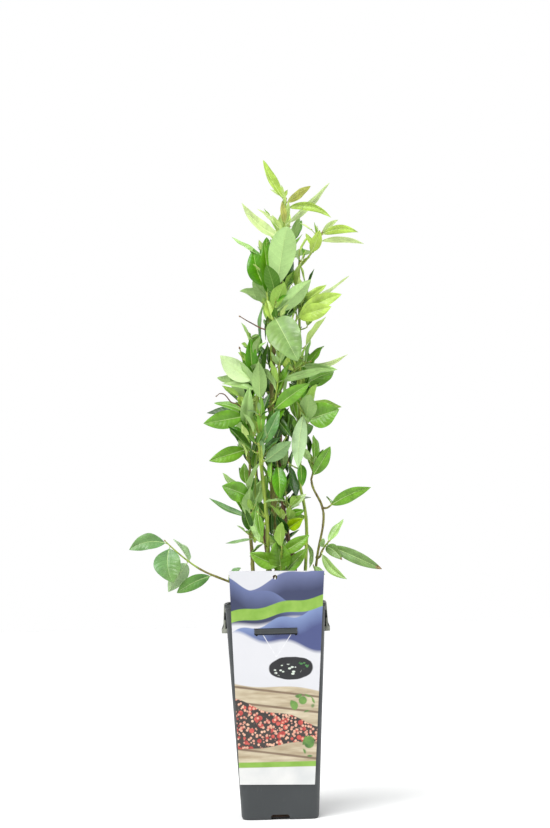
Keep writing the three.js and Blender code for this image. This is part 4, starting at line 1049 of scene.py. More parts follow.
# The rim's section: heights over its foot, then over the pot's top, each with how far out of the wall it is.
RIM_FOOT = ((0.15, 0.35), (0.5, 0.7))
RIM_TOP = ((-0.6, 0.7), (-0.2, 0.5), (0, 0.15), (0, -1), (-0.15, -1.35), (-0.5, -1.5))
INNER_ROWS = (180, 120, 60)
DRAIN = dict(width=18, height=5, chamfer=1.6, depth=7)
HANDLE = dict(width=41, root=0.6, plate_top=50.4, plate_foot=51.7, plate_thick=1.6, bar_top=183.9,
              bar_foot=179.5, bar_step=0.5, slot_top=201.8, slot_off=0.1, end_off=0.4, rib=2.2, web=1.2,
              pocket=1.5, window=(192.5, 200), window_in=(1.3, 1.4), window_out=(0.3, -0.3),
              soft=0.3, lit_end_depth=0.1)
PAST = 1  # how far cutters run past what they cut
SHARP = dict(pot=40, cut=35, handle=40, card=30)  # degrees at which an edge stays sharp
ROUNDED = 30  # degrees at which soften() rounds an edge


def wall_half(z):
    return POT["base_half"] + (POT["rim_half"] - POT["base_half"]) * z / POT_HEIGHT


def wall_corner(z):
    return POT["base_corner"] + (POT["rim_corner"] - POT["base_corner"]) * z / POT_HEIGHT


def turned(degrees):
    """The direction at an angle from the first of two axes."""
    return np.array((math.cos(math.radians(degrees)), math.sin(math.radians(degrees))))


def square_ring(half, corner, z, per_corner=9, per_side=10):
    """A square ring with round corners, anticlockwise from above."""
    inset = (half - corner) * math.sqrt(2)
    ring = []
    for turn in range(0, 360, 90):
        bends = np.linspace(turn, turn + 90, per_corner)
        arc = [inset * turned(turn + 45) + corner * turned(bend) for bend in bends]
        after = inset * turned(turn + 135) + corner * turned(turn + 90)
        side = [arc[-1] + (after - arc[-1]) * i / per_side for i in range(1, per_side)]
        ring += arc + side
    return np.array([(x, y, z) for x, y in ring])


def pot_rings():
    """Rings from the pot's underside up the outer wall, over the rim and down the inner wall."""
    rounding, band = POT["edge_round"], POT_HEIGHT - POT["rim_band"]
    inward = POT["edge_in"] * rounding
    steps = np.radians(np.linspace(0, 90, 6))
    profile = [(rounding * (1 - math.cos(a)), -inward * (1 - math.sin(a))) for a in steps]
    profile += [(z, 0) for z in np.linspace(rounding, band, POT["rows"])[1:]]
    profile += [(band + over, out) for over, out in RIM_FOOT]
    profile += [(POT_HEIGHT + over, out) for over, out in RIM_TOP]
    profile += [(z, -POT["wall"]) for z in (*INNER_ROWS, POT["floor"])]
    return np.array([square_ring(wall_half(z) + out, wall_corner(z) + out, z) for z, out in profile])


def prism(name, material, outline, low, high, axes):
    """A closed prism. axes gives the directions of the outline's two coordinates and of its depth."""
    right, up, depth = (np.array(axis, float) for axis in axes)
    rings = [[right * x + up * y + depth * d for x, y in outline] for d in (low, high)]
    build = Build()
    add_tube(build, np.array(rings), "prism")
    return build.piece(name, dict(prism=material))


def side_axes(quarter):
    """Directions for the pot's side that a quarter turn gives: along it, up, and out of it."""
    out = np.array((*turned(90 * quarter - 90), 0))
    return np.cross(UP, out), UP, out


def cut(piece, cutters):
    """Cuts the cutters from the piece and removes them."""
    for cutter in cutters:
        change = piece.modifiers.new("cut", "BOOLEAN")
        change.object = cutter
        change.operation = "DIFFERENCE"
        change.solver = "EXACT"
    apply_modifiers(piece)
    for cutter in cutters:
        bpy.data.objects.remove(cutter)


def apply_modifiers(piece):
    shown = piece.evaluated_get(bpy.context.evaluated_depsgraph_get())
    mesh = bpy.data.meshes.new_from_object(shown)
    piece.modifiers.clear()
    piece.data = mesh


def shade(piece, angle):
    """Shades the piece smooth but for edges that bend past the angle."""
    piece.data.shade_smooth()
    piece.data.set_sharp_from_angle(angle=math.radians(angle))


def soften(piece, width):
    """Rounds the piece's edges by width in millimetres."""
    bevel = piece.modifiers.new("edges", "BEVEL")
    bevel.width = width * MM
    bevel.segments = 2
    bevel.limit_method = "ANGLE"
    bevel.angle_limit = math.radians(ROUNDED)
    bevel.harden_normals = False
    apply_modifiers(piece)


def pot_shell(materials):
    build = Build()
    add_tube(build, pot_rings(), "pot")
    shell = build.piece("pot_shell", materials, angle=SHARP["pot"])
    half, top, chamfer, reach = DRAIN["width"] / 2, DRAIN["height"], DRAIN["chamfer"], wall_half(0)
    outline = [(-half, -PAST), (half, -PAST), (half, top - chamfer), (half - chamfer, top),
               (chamfer - half, top), (-half, top - chamfer)]
    ends = reach - DRAIN["depth"], reach + 2 * PAST
    cut(shell, [prism("notch", materials["pot"], outline, *ends, side_axes(side)) for side in range(4)])
    shade(shell, SHARP["cut"])
    return dress(shell, "pot", "pot")


def handle_cuts(half):
    """The sections cut from a handle, each with where its cut begins and ends beside the handle's middle."""
    top, slot_top, off = HANDLE["bar_top"], HANDLE["slot_top"], HANDLE["slot_off"]
    plate_foot, plate_top, thick = HANDLE["plate_foot"], HANDLE["plate_top"], HANDLE["plate_thick"]
    wall_top = wall_half(slot_top)
    slot = [(wall_half(top), top), (plate_foot - thick, top), (plate_top - thick, slot_top),
            (wall_top + off, slot_top)]
    end = [(wall_half(top), top), (plate_foot - HANDLE["rib"], top), (wall_top + HANDLE["end_off"], slot_top),
           (wall_top + off, slot_top)]
    (low, high), (low_in, high_in) = HANDLE["window"], HANDLE["window_in"]
    low_out, high_out = HANDLE["window_out"]
    window = [(plate_top - low_in, low), (plate_top + low_out, low), (plate_top + high_out, high),
              (plate_top - high_in, high)]
    return [(slot, HANDLE["web"], half - HANDLE["rib"]), (end, HANDLE["web"], half + PAST),
            (window, half - HANDLE["pocket"], half + PAST)]


def handle(quarter, materials):
    """The loop on one side: a plate that leaves the rim, ribs down its ends and a bar back to the wall."""
    along, up, out = side_axes(quarter)
    axes = (out, up, -along)
    half, root, foot, top = HANDLE["width"] / 2, HANDLE["root"], HANDLE["bar_foot"], HANDLE["bar_top"]
    outline = [
        (wall_half(POT_HEIGHT) - root, POT_HEIGHT), (wall_half(foot) - root, foot), (BAR_OUT, foot),
        (BAR_OUT, top), (HANDLE["plate_foot"], top + HANDLE["bar_step"]), (HANDLE["plate_top"], POT_HEIGHT),
    ]
    plastic = materials["pot"]
    body = prism(f"handle_{quarter}", plastic, outline, -half, half, axes)
    cutters = []
    for section, start, end in handle_cuts(half):
        cutters.append(prism("cut_left", plastic, section, -end, -start, axes))
        cutters.append(prism("cut_right", plastic, section, start, end, axes))
    cut(body, cutters)
    soften(body, HANDLE["soft"])
    shade(body, SHARP["handle"])
    # Painted light: the faces at the handle's two ends take a lighter copy of the plastic, for the light that
    # catches them.
    body.data.materials.append(materials["pot_painted_light"])
    for face in body.data.polygons:
        if abs(face.center @ Vector(along)) > (half - HANDLE["lit_end_depth"]) * MM:
            face.material_index = len(body.data.materials) - 1
    return dress(body, "pot", "pot")


# ---------------------------------------------------------------- soil
SOIL = dict(rows=(60, 120, 170), rings=46, per_corner=9, per_side=30, clearance=0.3, mound=7, heap=1.3,
            coarse=(1.6, 14), fine=(0.5, 2.6), smoothed=0.6, edge=38, edge_run=8, edge_fall=0.8, middle=0.02)
CRUMBS = dict(count=520, chips=60, size=(0.5, 2.6), from_wall=5, raised=0.15, flat=0.7, rough=0.25, seed=5)
CHIPS = dict(larger=1.3, flat=0.3)  # the last of the crumbs are chips of bark


def soil_height(x, y):
    """The soil's surface: lumps of several sizes, heaped a little round each stem."""
    place = Vector((x, y, 0))
    (coarse, pitch), (fine, fine_pitch) = SOIL["coarse"], SOIL["fine"]
    lumps = coarse * noise.fractal(place / pitch, 1, 2, 4) + fine * noise.noise(place / fine_pitch)
    heap = 0
    for limb in LIMB.values():
        if limb["grounded"]:
            foot = limb["curve"].point(0)
            heap = max(heap, math.exp(-((x - foot[0]) ** 2 + (y - foot[1]) ** 2) / SOIL["mound"] ** 2))
    edge = max(0, (max(abs(x), abs(y)) - SOIL["edge"]) / SOIL["edge_run"])
    return SOIL_TOP - SOIL["edge_fall"] * edge + lumps * (1 - SOIL["smoothed"] * heap) + SOIL["heap"] * heap


def soil_ring(z, share=1):
    inset = POT["wall"] + SOIL["clearance"]
    half, corner = wall_half(z) - inset, wall_corner(z) - inset
    return square_ring(half * share, corner * share, z, SOIL["per_corner"], SOIL["per_side"])


def soil_piece(materials):
    rings = [soil_ring(z) for z in (POT["floor"] + SOIL["clearance"], *SOIL["rows"])]
    for share in np.linspace(1, SOIL["middle"], SOIL["rings"]):
        ring = soil_ring(SOIL_TOP, share)
        ring[:, 2] = [soil_height(x, y) for x, y, _ in ring]
        rings.append(ring)
    build = Build()
    add_tube(build, np.array(rings), "soil")
    return dress(build.piece("soil_fill", materials), "soil", "soil")


def lump(random, size, flat):
    """A rough lump from a coarse sphere, as points and faces."""
    ball = bmesh.new()
    bmesh.ops.create_icosphere(ball, subdivisions=1, radius=1)
    points = np.array([v.co for v in ball.verts])
    faces = [tuple(v.index for v in f.verts) for f in ball.faces]
    ball.free()
    points = points * (1 + random.uniform(-CRUMBS["rough"], CRUMBS["rough"], (len(points), 1)))
    points = points * size * np.array((1, random.uniform(0.5, 1), flat))
    turn = random.uniform(0, 2 * np.pi)
    turning = np.array([(math.cos(turn), -math.sin(turn), 0), (math.sin(turn), math.cos(turn), 0), (0, 0, 1)])
    return points @ turning.T, faces


def soil_crumbs(materials):
    random = np.random.default_rng(CRUMBS["seed"])
    build = Build()
    limit = wall_half(SOIL_TOP) - CRUMBS["from_wall"]
    low, high = CRUMBS["size"]
    for i in range(CRUMBS["count"] + CRUMBS["chips"]):
        x, y = random.uniform(-limit, limit, 2)
        chip = i >= CRUMBS["count"]
        size = low + (high - low) * random.random() ** 3
        if chip:
            points, faces = lump(random, size * CHIPS["larger"], CHIPS["flat"])
        else:
            points, faces = lump(random, size, CRUMBS["flat"])
        points = points + (x, y, soil_height(x, y) + size * CRUMBS["raised"])
        build.add(points, faces, "chip" if chip else "soil")
    return dress(build.piece("soil_crumbs", materials), "soil", "soil")


# ---------------------------------------------------------------- card
CARD = dict(thick=0.7, columns=56, rows=110, turn=1.2, standing=0.35, pushed=1.1,
            crease=((-12.4, 178.6), (14.6, 178.6), (0, 157)), crease_fade=1.2)
# The card's waves down its middle and down its edges: how deep, where they start and how long.
CARD_WAVES = ((0.35, 40, 62), (0.3, 0, 45))
SLIT = dict(half=20.8, foot=178.6, top=184.9)
ROUNDS = ((0.5, 234, 2.2), (-18.7, 178.6, 1.2), (19.4, 178.6, 1.2))  # the holes' places and radii
CARD_CUT = (40, 70)  # from the axis, where cutters run through the card


def on_card(z, foot, top):
    """What lies at a height, of something that changes evenly from the card's foot to its top."""
    return foot + (top - foot) * (z - CARD_FOOT) / (CARD_TOP - CARD_FOOT)


def crease_depth(x, z):
    """How far the card is pushed in: the tongue under the slit, between two creases."""
    (left, top), (right, _), (tip, foot) = CARD["crease"]
    share = (z - foot) / (top - foot)
    from_left = (x - (tip + (left - tip) * share)) / (right - left) * 2
    from_right = ((tip + (right - tip) * share) - x) / (right - left) * 2
    fade = np.clip((top + CARD["crease_fade"] - z) / CARD["crease_fade"], 0, 1)
    inside = np.minimum(from_left, from_right).clip(0) * (share > 0) * fade
    return CARD["pushed"] * np.minimum(inside, 1)


def card_points(depth):
    z = np.linspace(CARD_FOOT, CARD_TOP, CARD["rows"])[:, None]
    s = np.linspace(-1, 1, CARD["columns"])[None, :]
    x = s * on_card(z, CARD_FOOT_HALF, CARD_TOP_HALF)
    z = z + 0 * s
    in_middle, at_edges = (deep * np.sin((z - start) / long) for deep, start, long in CARD_WAVES)
    sway = in_middle * (1 - s**2) + at_edges * s**2
    out = on_card(z, CARD_FOOT_OUT, CARD_TOP_OUT) - CARD["standing"] - sway
    turn, middle = math.radians(CARD["turn"]), (CARD_FOOT + CARD_TOP) / 2
    across = x * math.cos(turn) + (z - middle) * math.sin(turn)
    up = middle + (z - middle) * math.cos(turn) - x * math.sin(turn)
    return np.stack([across, crease_depth(x, z) + depth - out, up], -1)


def card_sheet():
    """The card's two faces, and a rim of quads between them."""
    front, back = card_points(0), card_points(CARD["thick"])
    rows, columns = front.shape[:2]
    build = Build()
    faces = grid_faces(rows, columns)
    build.add(front, faces, "card")
    build.add(back, [face[::-1] for face in faces], "card_back")
    edge = [(0, c) for c in range(columns)] + [(r, columns - 1) for r in range(1, rows)]
    edge += [(rows - 1, c) for c in range(columns - 2, -1, -1)] + [(r, 0) for r in range(rows - 2, 0, -1)]
    around = [r * columns + c for r, c in edge]
    behind = rows * columns
    build.faces += [(a + behind, b + behind, b, a) for a, b in zip(around, around[1:] + around[:1])]
    build.looks += ["card_edge"] * len(around)
    return build


def label_card(materials):
    card = card_sheet().piece("hang_card", materials)
    axes = (np.array((1, 0, 0)), UP, np.array((0, -1, 0)))
    half, foot, top = SLIT["half"], SLIT["foot"], SLIT["top"]
    holes = [[(-half, foot), (half, foot), (half, top), (-half, top)]]
    for x, z, radius in ROUNDS:
        holes.append([np.array((x, z)) + radius * turned(a) for a in range(0, 360, 15)])
    cut(card, [prism("hole", materials["card_edge"], hole, *CARD_CUT, axes) for hole in holes])
    shade(card, SHARP["card"])
    return dress(card, "card", "label_card")


# ---------------------------------------------------------------- materials
def linear(colour):
    """A linear colour from one given as it looks, 0 to 1."""
    return tuple(((c + 0.055) / 1.055) ** 2.4 if c > 0.04045 else c / 12.92 for c in colour) + (1,)


class Shader:
    """A material made of nodes, in the part's own coordinates."""

    def __init__(self, name, roughness, **constants):
        self.material = bpy.data.materials.new(name)
        self.material.use_nodes = True
        self.tree = self.material.node_tree
        self.surface = self.tree.nodes["Principled BSDF"]
        self.place = self.tree.nodes.new("ShaderNodeTexCoord").outputs["Object"]
        self.set("Roughness", roughness)
        for socket, value in constants.items():
            self.set(socket.replace("_", " "), value)

    def set(self, socket, value):
        self.feed(self.surface.inputs[socket], value)

    def feed(self, socket, value):
        if isinstance(value, bpy.types.NodeSocket):
            self.tree.links.new(value, socket)
        else:
            socket.default_value = value

    def node(self, kind, *values, **named):
        """A new node. The values go to its inputs in turn, the named ones by their names."""
        node = self.tree.nodes.new("ShaderNode" + kind)
        for socket, value in zip(node.inputs, values):
            self.feed(socket, value)
        for socket, value in named.items():
            self.feed(node.inputs[socket], value)
        return node

    def math(self, operation, a, b=0.0):
        node = self.node("Math", a, b)
        node.operation = operation
        return node.outputs[0]

    def plus(self, a, b):
        return self.math("ADD", a, b)

    def minus(self, a, b):
        return self.math("SUBTRACT", a, b)

    def times(self, a, b):
        return self.math("MULTIPLY", a, b)

    def scaled(self, factors):
        """The place with each axis scaled, to stretch a pattern."""
        node = self.node("VectorMath", self.place, factors)
        node.operation = "MULTIPLY"
        return node.outputs[0]

    def noise(self, scale, detail=3.0, stretch=(1, 1, 1)):
        return self.node("TexNoise", Vector=self.scaled(stretch), Scale=scale, Detail=detail).outputs["Fac"]

    def cells(self, scale, feature="DISTANCE_TO_EDGE", randomness=1.0, stretch=(1, 1, 1)):
        node = self.node("TexVoronoi", Vector=self.scaled(stretch), Scale=scale, Randomness=randomness)
        node.feature = feature
        return node.outputs["Distance"]

    def spots(self, scale, low, high, randomness=0.9, stretch=(1, 1, 1)):
        """1 in round spots, and 0 between them."""
        return self.remap(self.cells(scale, "F1", randomness, stretch), low, high, 1.0, 0.0)

    def remap(self, value, low, high, to_low=0.0, to_high=1.0):
        return self.node("MapRange", value, low, high, to_low, to_high).outputs[0]

    def mix(self, factor, a, b):
        node = self.node("Mix", Factor=factor)
        node.data_type = "RGBA"
        colours = [socket for socket in node.inputs if socket.type == "RGBA"]
        for socket, colour in zip(colours, (a, b)):
            self.feed(socket, colour if isinstance(colour, bpy.types.NodeSocket) else linear(colour))
        return next(socket for socket in node.outputs if socket.type == "RGBA")

    def bump(self, height, distance):
        """Relief of a depth in millimetres."""
        self.set("Normal", self.node("Bump", Distance=distance * MM, Height=height).outputs["Normal"])


def tinted(colour, factor):
    return tuple(min(1, c * factor) for c in colour)


def leaf_upper(name, colour):
    """A glossy face: clouded, yellower here and there, with a fine net of veins pressed in."""
    look = Shader(name, 0.4, Specular_IOR_Level=0.36)
    mottle = look.remap(look.noise(110, 2), 0.35, 0.65)
    clouded = look.mix(mottle, tinted(colour, 0.9), tinted(colour, 1.06))
    drift = look.times(look.remap(look.noise(22, 1), 0.42, 0.68), 0.3)
    look.set("Base Color", look.mix(drift, clouded, blend(colour, (0.78, 0.84, 0.2), 0.3)))
    look.set("Roughness", look.remap(look.noise(400), 0.3, 0.7, 0.28, 0.42))
    net = look.math("MINIMUM", look.cells(900), 0.3)
    look.bump(look.plus(look.times(look.noise(900, 2), 0.4), net), 0.06)
    return look.material


def leaf_under(name, colour):
    """A matt face with a raised net of fine veins."""
    look = Shader(name, 0.62, Specular_IOR_Level=0.2)
    net = look.remap(look.cells(700), 0.0, 0.12)
    clouded = look.mix(look.noise(90, 2), tinted(colour, 0.9), tinted(colour, 1.06))
    look.set("Base Color", look.mix(net, tinted(colour, 1.05), clouded))
    look.bump(net, -0.05)
    return look.material


def bark(name, colour, dark, light, streak, roughness, depth):
    """Bark with long streaks and small pale pores."""
    look = Shader(name, roughness)
    streaks = look.remap(look.noise(420, 4, (1, 1, 0.16)), 0.35, 0.65)
    body = look.mix(streaks, dark, colour)
    pores = look.spots(420, 0.12, 0.2, 1, (1, 1, 0.6))
    look.set("Base Color", look.mix(look.times(pores, streak), body, light))
    look.bump(look.noise(900, 4, (1, 1, 0.2)), depth)
    return look.material


def pot_plastic(name, dark, light):
    look = Shader(name, 0.42, Specular_IOR_Level=0.5)
    grain = look.noise(1600, 2)
    scuffs = look.remap(look.noise(260, 6, (1, 1, 0.12)), 0.62, 0.78)
    body = look.mix(look.noise(18, 2), dark, light)
    look.set("Base Color", look.mix(look.times(scuffs, 0.25), body, (0.42, 0.43, 0.43)))
    look.set("Roughness", look.remap(look.noise(60, 4), 0.3, 0.7, 0.36, 0.52))
    look.bump(grain, 0.06)
    return look.material


def soil_look(name, dark, light):
    look = Shader(name, 0.95, Specular_IOR_Level=0.2)
    grain = look.remap(look.noise(700, 5), 0.35, 0.7)
    look.set("Base Color", look.mix(grain, dark, light))
    look.bump(look.noise(1400, 4), 0.5)
    return look.material


def card_edge():
    look = Shader("card_edge", 0.5)
    look.set("Base Color", look.mix(look.noise(800), (0.78, 0.79, 0.80), (0.84, 0.84, 0.85)))
    return look.material


class Print(Shader):
    """The card's picture, drawn by its own coordinates in millimetres: right and up."""

    def __init__(self):
        super().__init__("card_print", 0.3, Specular_IOR_Level=0.4, Coat_Weight=0.2, Coat_Roughness=0.15)
        split = self.node("SeparateXYZ", self.place)
        self.right = self.times(split.outputs["X"], 1 / MM)
        self.up = self.times(split.outputs["Z"], 1 / MM)
        self.colour = self.mix(self.noise(12, 1), (0.84, 0.845, 0.865), (0.91, 0.91, 0.925))

    def paint(self, mask, low, high, grain=60, stretch=(1, 1, 1)):
        """Lays a mottled colour over what is there, where the mask is 1."""
        tint = self.mix(self.remap(self.noise(grain, 4, stretch), 0.3, 0.7), low, high)
        self.colour = self.mix(mask, self.colour, tint)

    def step(self, value, soft=0.4):
        return self.remap(value, -soft, soft)

    def over(self, height, slope=0.0, wave=0.0, pitch=1.0, phase=0.0):
        """How far a place is over the line height + slope x + wave sin(x / pitch + phase)."""
        line = self.plus(self.times(self.right, slope), height)
        if wave:
            swing = self.math("SINE", self.plus(self.math("DIVIDE", self.right, pitch), phase))
            line = self.plus(line, self.times(swing, wave))
        return self.minus(self.up, line)

    def hill(self, crest, foot, light, dark, depth):
        """A ridge between two lines, paler along its crest."""
        below = self.times(self.over(*crest), -1)
        shadow = self.remap(self.plus(below, self.times(self.noise(40, 3), 9)), 3, depth)
        mask = self.times(self.step(below), self.step(self.over(*foot), 2))
        self.colour = self.mix(mask, self.colour, self.mix(shadow, light, dark))

    def oval(self, x, z, half_wide, half_high, soft=0.02):
        across = self.math("POWER", self.math("DIVIDE", self.minus(self.right, x), half_wide), 2)
        along = self.math("POWER", self.math("DIVIDE", self.minus(self.up, z), half_high), 2)
        return self.step(self.minus(1, self.plus(across, along)), soft)

    def crease(self, start, end, half=0.35):
        """1 within half of the line from start to end, where the print has cracked white."""
        (x, z), (x_end, z_end) = start, end
        long = math.hypot(x_end - x, z_end - z)
        across = self.times(self.minus(self.right, x), (z_end - z) / long)
        down = self.times(self.minus(self.up, z), (x_end - x) / long)
        off = self.math("ABSOLUTE", self.minus(across, down))
        inside = self.times(self.step(self.over(z_end)), self.minus(1, self.step(self.over(z))))
        return self.times(self.step(self.minus(half, off), 0.2), inside)

    def without(self, a, b):
        return self.times(a, self.minus(1, b))


# The card's picture, in millimetres on the card. A line is its height, slope, wave, pitch and phase.
HILLS = (  # the crest's line, the foot's line, the colour of the crest, the colour lower down and the depth
    ((232, 0.3, 3.5, 9, 0.6), (204, 0, 2, 7), (0.45, 0.49, 0.66), (0.21, 0.24, 0.38), 24),
    ((216, -0.36, 3, 7, 2.0), (192, 0.1, 2, 9), (0.42, 0.47, 0.65), (0.20, 0.23, 0.36), 24),
    ((192, 0.26, 2.6, 6, 1.0), (172, -0.2, 3, 8), (0.52, 0.60, 0.78), (0.28, 0.32, 0.52), 22),
)
LAWN = (0.16, 1.4, 7, 0.4)  # slope, wave, pitch and phase of its two lines
BLOOMS = (  # how many to a metre, and their colours
    (170, (0.62, 0.12, 0.15), (0.90, 0.42, 0.36)),
    (330, (0.85, 0.55, 0.48), (0.95, 0.78, 0.66)),
)
SHRUBS = ((24, 112, 12, 9), (30, 71, 7, 11))  # place, half the width and half the height
FLAT = 0.02  # stretch that keeps spots whole through the card's slant


def paint_hills(look):
    for hill in HILLS:
        look.hill(*hill)
    lawn = look.without(look.step(look.over(197, *LAWN)), look.step(look.over(208, *LAWN)))
    look.paint(lawn, (0.50, 0.68, 0.22), (0.60, 0.76, 0.32), 90)


def paint_pond(look):
    wobble = look.times(look.minus(look.noise(60, 2), 0.5), 0.5)
    shore = look.plus(look.oval(14, 146, 22, 11, 0.5), wobble)
    look.paint(look.remap(shore, 0.45, 0.55), (0.07, 0.07, 0.09), (0.13, 0.13, 0.15), 40)
    pads = look.spots(230, 0.34, 0.4, stretch=(1, FLAT, 1.6))
    look.paint(look.times(look.oval(10, 144, 13, 6, 0.2), pads), (0.80, 0.86, 0.78), (0.93, 0.95, 0.93), 200)
    look.paint(look.times(look.oval(26, 149, 5, 4, 0.2), pads), (0.22, 0.48, 0.24), (0.34, 0.60, 0.32), 200)


def paint_beds(look):
    """A wedge of dark earth with red blooms, and shrubs at its narrow end."""
    below = look.times(look.over(103, -0.32, 2, 8), -1)
    bed = look.times(look.step(look.over(72, 0.1, 1, 9)), look.step(below))
    look.paint(bed, (0.15, 0.14, 0.14), (0.27, 0.24, 0.22), 50)
    for scale, low, high in BLOOMS:
        blooms = look.spots(scale, 0.36, 0.46, stretch=(1, FLAT, 1))
        look.paint(look.times(bed, blooms), low, high, 160)
    leafage = look.spots(110, 0.5, 0.58, stretch=(1, FLAT, 1))
    for x, z, wide, high in SHRUBS:
        shrub = look.times(look.oval(x, z, wide, high, 0.1), leafage)
        look.paint(shrub, (0.22, 0.40, 0.18), (0.48, 0.66, 0.30), 120)


def paint_field(look):
    field = look.step(look.times(look.over(128, -0.12, 2, 14, 0.2), -1))
    look.paint(field, (0.68, 0.61, 0.49), (0.86, 0.81, 0.70), 40, (1, 1, 6))
    slant = look.plus(look.times(look.up, 0.42), look.times(look.right, 0.06))
    furrows = look.step(look.minus(look.math("SINE", slant), 0.9), 0.08)
    look.paint(look.times(field, furrows), (0.46, 0.38, 0.30), (0.55, 0.47, 0.38))
    paint_beds(look)
    above, verge = look.step(look.over(51)), look.step(look.over(56))
    look.paint(look.minus(1, above), (0.84, 0.85, 0.85), (0.92, 0.92, 0.91), 40)
    look.paint(look.without(above, verge), (0.50, 0.68, 0.22), (0.58, 0.75, 0.32), 60)


def card_print():
    """A plain garden picture: blue hills, a green lawn, a dark pond and furrows with a bed of blooms."""
    look = Print()
    paint_hills(look)
    paint_pond(look)
    paint_field(look)
    left, right, tip = CARD["crease"]
    for start in (left, right):
        look.paint(look.crease(start, tip), (0.86, 0.86, 0.88), (0.95, 0.95, 0.96), 300)
    inked = look.mix(0.23, look.colour, (0, 0, 0))
    look.set("Base Color", inked)
    look.bump(look.noise(30, 2), 0.3)
    return look.material


# Leaf tones: the base colours of the upper face and of the under face.
TONES = dict(
    # pale: a light young green made lighter still, as painted light for the backlight that washes out the top
    # leaves.
    pale=((0.75, 0.83, 0.57), (0.82, 0.92, 0.68)),
    lime=((0.64, 0.76, 0.32), (0.70, 0.80, 0.46)),
    olive=((0.72, 0.73, 0.36), (0.72, 0.74, 0.44)),
    sunlit=((0.54, 0.68, 0.01), (0.62, 0.76, 0.20)),
    bright=((0.28, 0.52, 0.00), (0.56, 0.71, 0.31)),
    green=((0.39, 0.59, 0.15), (0.57, 0.70, 0.42)),
    # deep: a dark leaf green made darker still, as painted shade for the leaves inside the crown and at its
    # back.
    deep=((0.12, 0.29, 0.00), (0.30, 0.47, 0.14)),
    soft=((0.59, 0.74, 0.43), (0.61, 0.74, 0.47)),
    mellow=((0.47, 0.60, 0.34), (0.58, 0.70, 0.44)),
    tipped=((0.40, 0.53, 0.31), (0.51, 0.64, 0.40)),
    cool=((0.38, 0.54, 0.33), (0.46, 0.59, 0.38)),
    cool_pale=((0.55, 0.67, 0.49), (0.62, 0.73, 0.54)),
    cool_deep=((0.33, 0.52, 0.25), (0.48, 0.62, 0.40)),
)


def blend(colour, other, share):
    return tuple(a * (1 - share) + b * share for a, b in zip(colour, other))


# Bark: its colour, its dark streaks, its pale pores and how strong they are, its roughness and its relief.
BARKS = dict(
    old_wood=((0.45, 0.33, 0.24), (0.24, 0.16, 0.11), (0.62, 0.52, 0.42), 0.5, 0.8, 0.5),
    stem=((0.53, 0.54, 0.25), (0.37, 0.31, 0.15), (0.66, 0.67, 0.40), 0.35, 0.6, 0.3),
    green_stem=((0.60, 0.69, 0.26), (0.42, 0.52, 0.17), (0.76, 0.80, 0.46), 0.3, 0.45, 0.12),
    bud=((0.62, 0.60, 0.28), (0.52, 0.40, 0.22), (0.72, 0.72, 0.40), 0.3, 0.5, 0.1),
    dry=((0.52, 0.40, 0.24), (0.38, 0.27, 0.16), (0.66, 0.54, 0.36), 0.4, 0.7, 0.2),
)


def make_materials():
    edge = card_edge()
    made = dict(
        pot=pot_plastic("pot_plastic", (0.165, 0.18, 0.187), (0.215, 0.23, 0.237)),
        # A lighter copy of the plastic, painted light on the ends of the handles.
        pot_painted_light=pot_plastic("pot_painted_light", (0.48, 0.49, 0.45), (0.58, 0.59, 0.54)),
        soil=soil_look("soil", (0.10, 0.07, 0.05), (0.25, 0.18, 0.13)),
        chip=soil_look("chip", (0.30, 0.20, 0.13), (0.50, 0.37, 0.25)),
        card=card_print(), card_edge=edge, card_back=edge,
    )
    for name, recipe in BARKS.items():
        made[name] = bark(name, *recipe)
    for tone, (upper, under) in TONES.items():
        vein = blend(under, (0.86, 0.92, 0.62), 0.35)
        for part, make, colour in (
            ("_upper", leaf_upper, upper), ("_under", leaf_under, under), ("_rib", leaf_under, vein),
            ("_vein_upper", leaf_upper, blend(upper, vein, 0.24)),
            ("_vein_under", leaf_under, blend(under, vein, 0.5)),
        ):
            made[tone + part] = make(tone + part, colour)
    return made


# ---------------------------------------------------------------- studio
FILL = 0.36  # the backdrop's light on the plant; the camera sees it at 1
FADE = (0.6, 3.5)  # metres from the pot over which the floor pales into the backdrop
FADE_GLOW = 0.12
FLOOR = dict(half=4000, under=0.02, points=9)
CAMERA = dict(place=(4.4, -1800, 268), pitch=4.06, lean=1.42, focal_px=1800, height_px=828,
              sensor=36, reach=50)
SUN = dict(place=(-0.9, -1.2, 1.7), angle=50, strength=3.0)  # places and sizes of lights are in metres
AIM = (0, 0, 0.4)
LIGHTS = (  # the name, the place, the size and the power
    ("key", (-0.9, -1.1, 1.5), 0.8, 10),
    ("side", (1.3, -0.5, 1.0), 0.7, 9),
    ("back", (0.3, 1.4, 1.5), 1.0, 12),
)


def put(name, data, place, ahead, top=Vector((0, 0, 1))):
    """Puts a camera or a light in its place, looking ahead with its top towards top."""
    back = -ahead.normalized()
    right = top.cross(back).normalized()
    thing = bpy.data.objects.new(name, data)
    thing.matrix_world = Matrix((right, back.cross(right), back)).transposed().to_4x4()
    thing.location = place
    bpy.context.scene.collection.objects.link(thing)
    return thing


def make_camera():
    data = bpy.data.cameras.new("camera")
    data.sensor_fit = "VERTICAL"
    data.sensor_height = CAMERA["sensor"]
    data.lens = CAMERA["focal_px"] / CAMERA["height_px"] * data.sensor_height
    data.clip_end = CAMERA["reach"]
    pitch, lean = math.radians(CAMERA["pitch"]), math.radians(CAMERA["lean"])
    ahead = Vector((0, math.cos(pitch), math.sin(pitch)))
    level_top = Vector((0, -math.sin(pitch), math.cos(pitch)))
    top = math.cos(lean) * level_top + math.sin(lean) * Vector((1, 0, 0))
    bpy.context.scene.camera = put("camera", data, Vector(CAMERA["place"]) * MM, ahead, top)


def make_light(name, place, size, power):
    data = bpy.data.lights.new(name, "AREA")
    data.shape = "DISK"
    data.size = size
    data.energy = power
    put(name, data, Vector(place), Vector(AIM) - Vector(place))


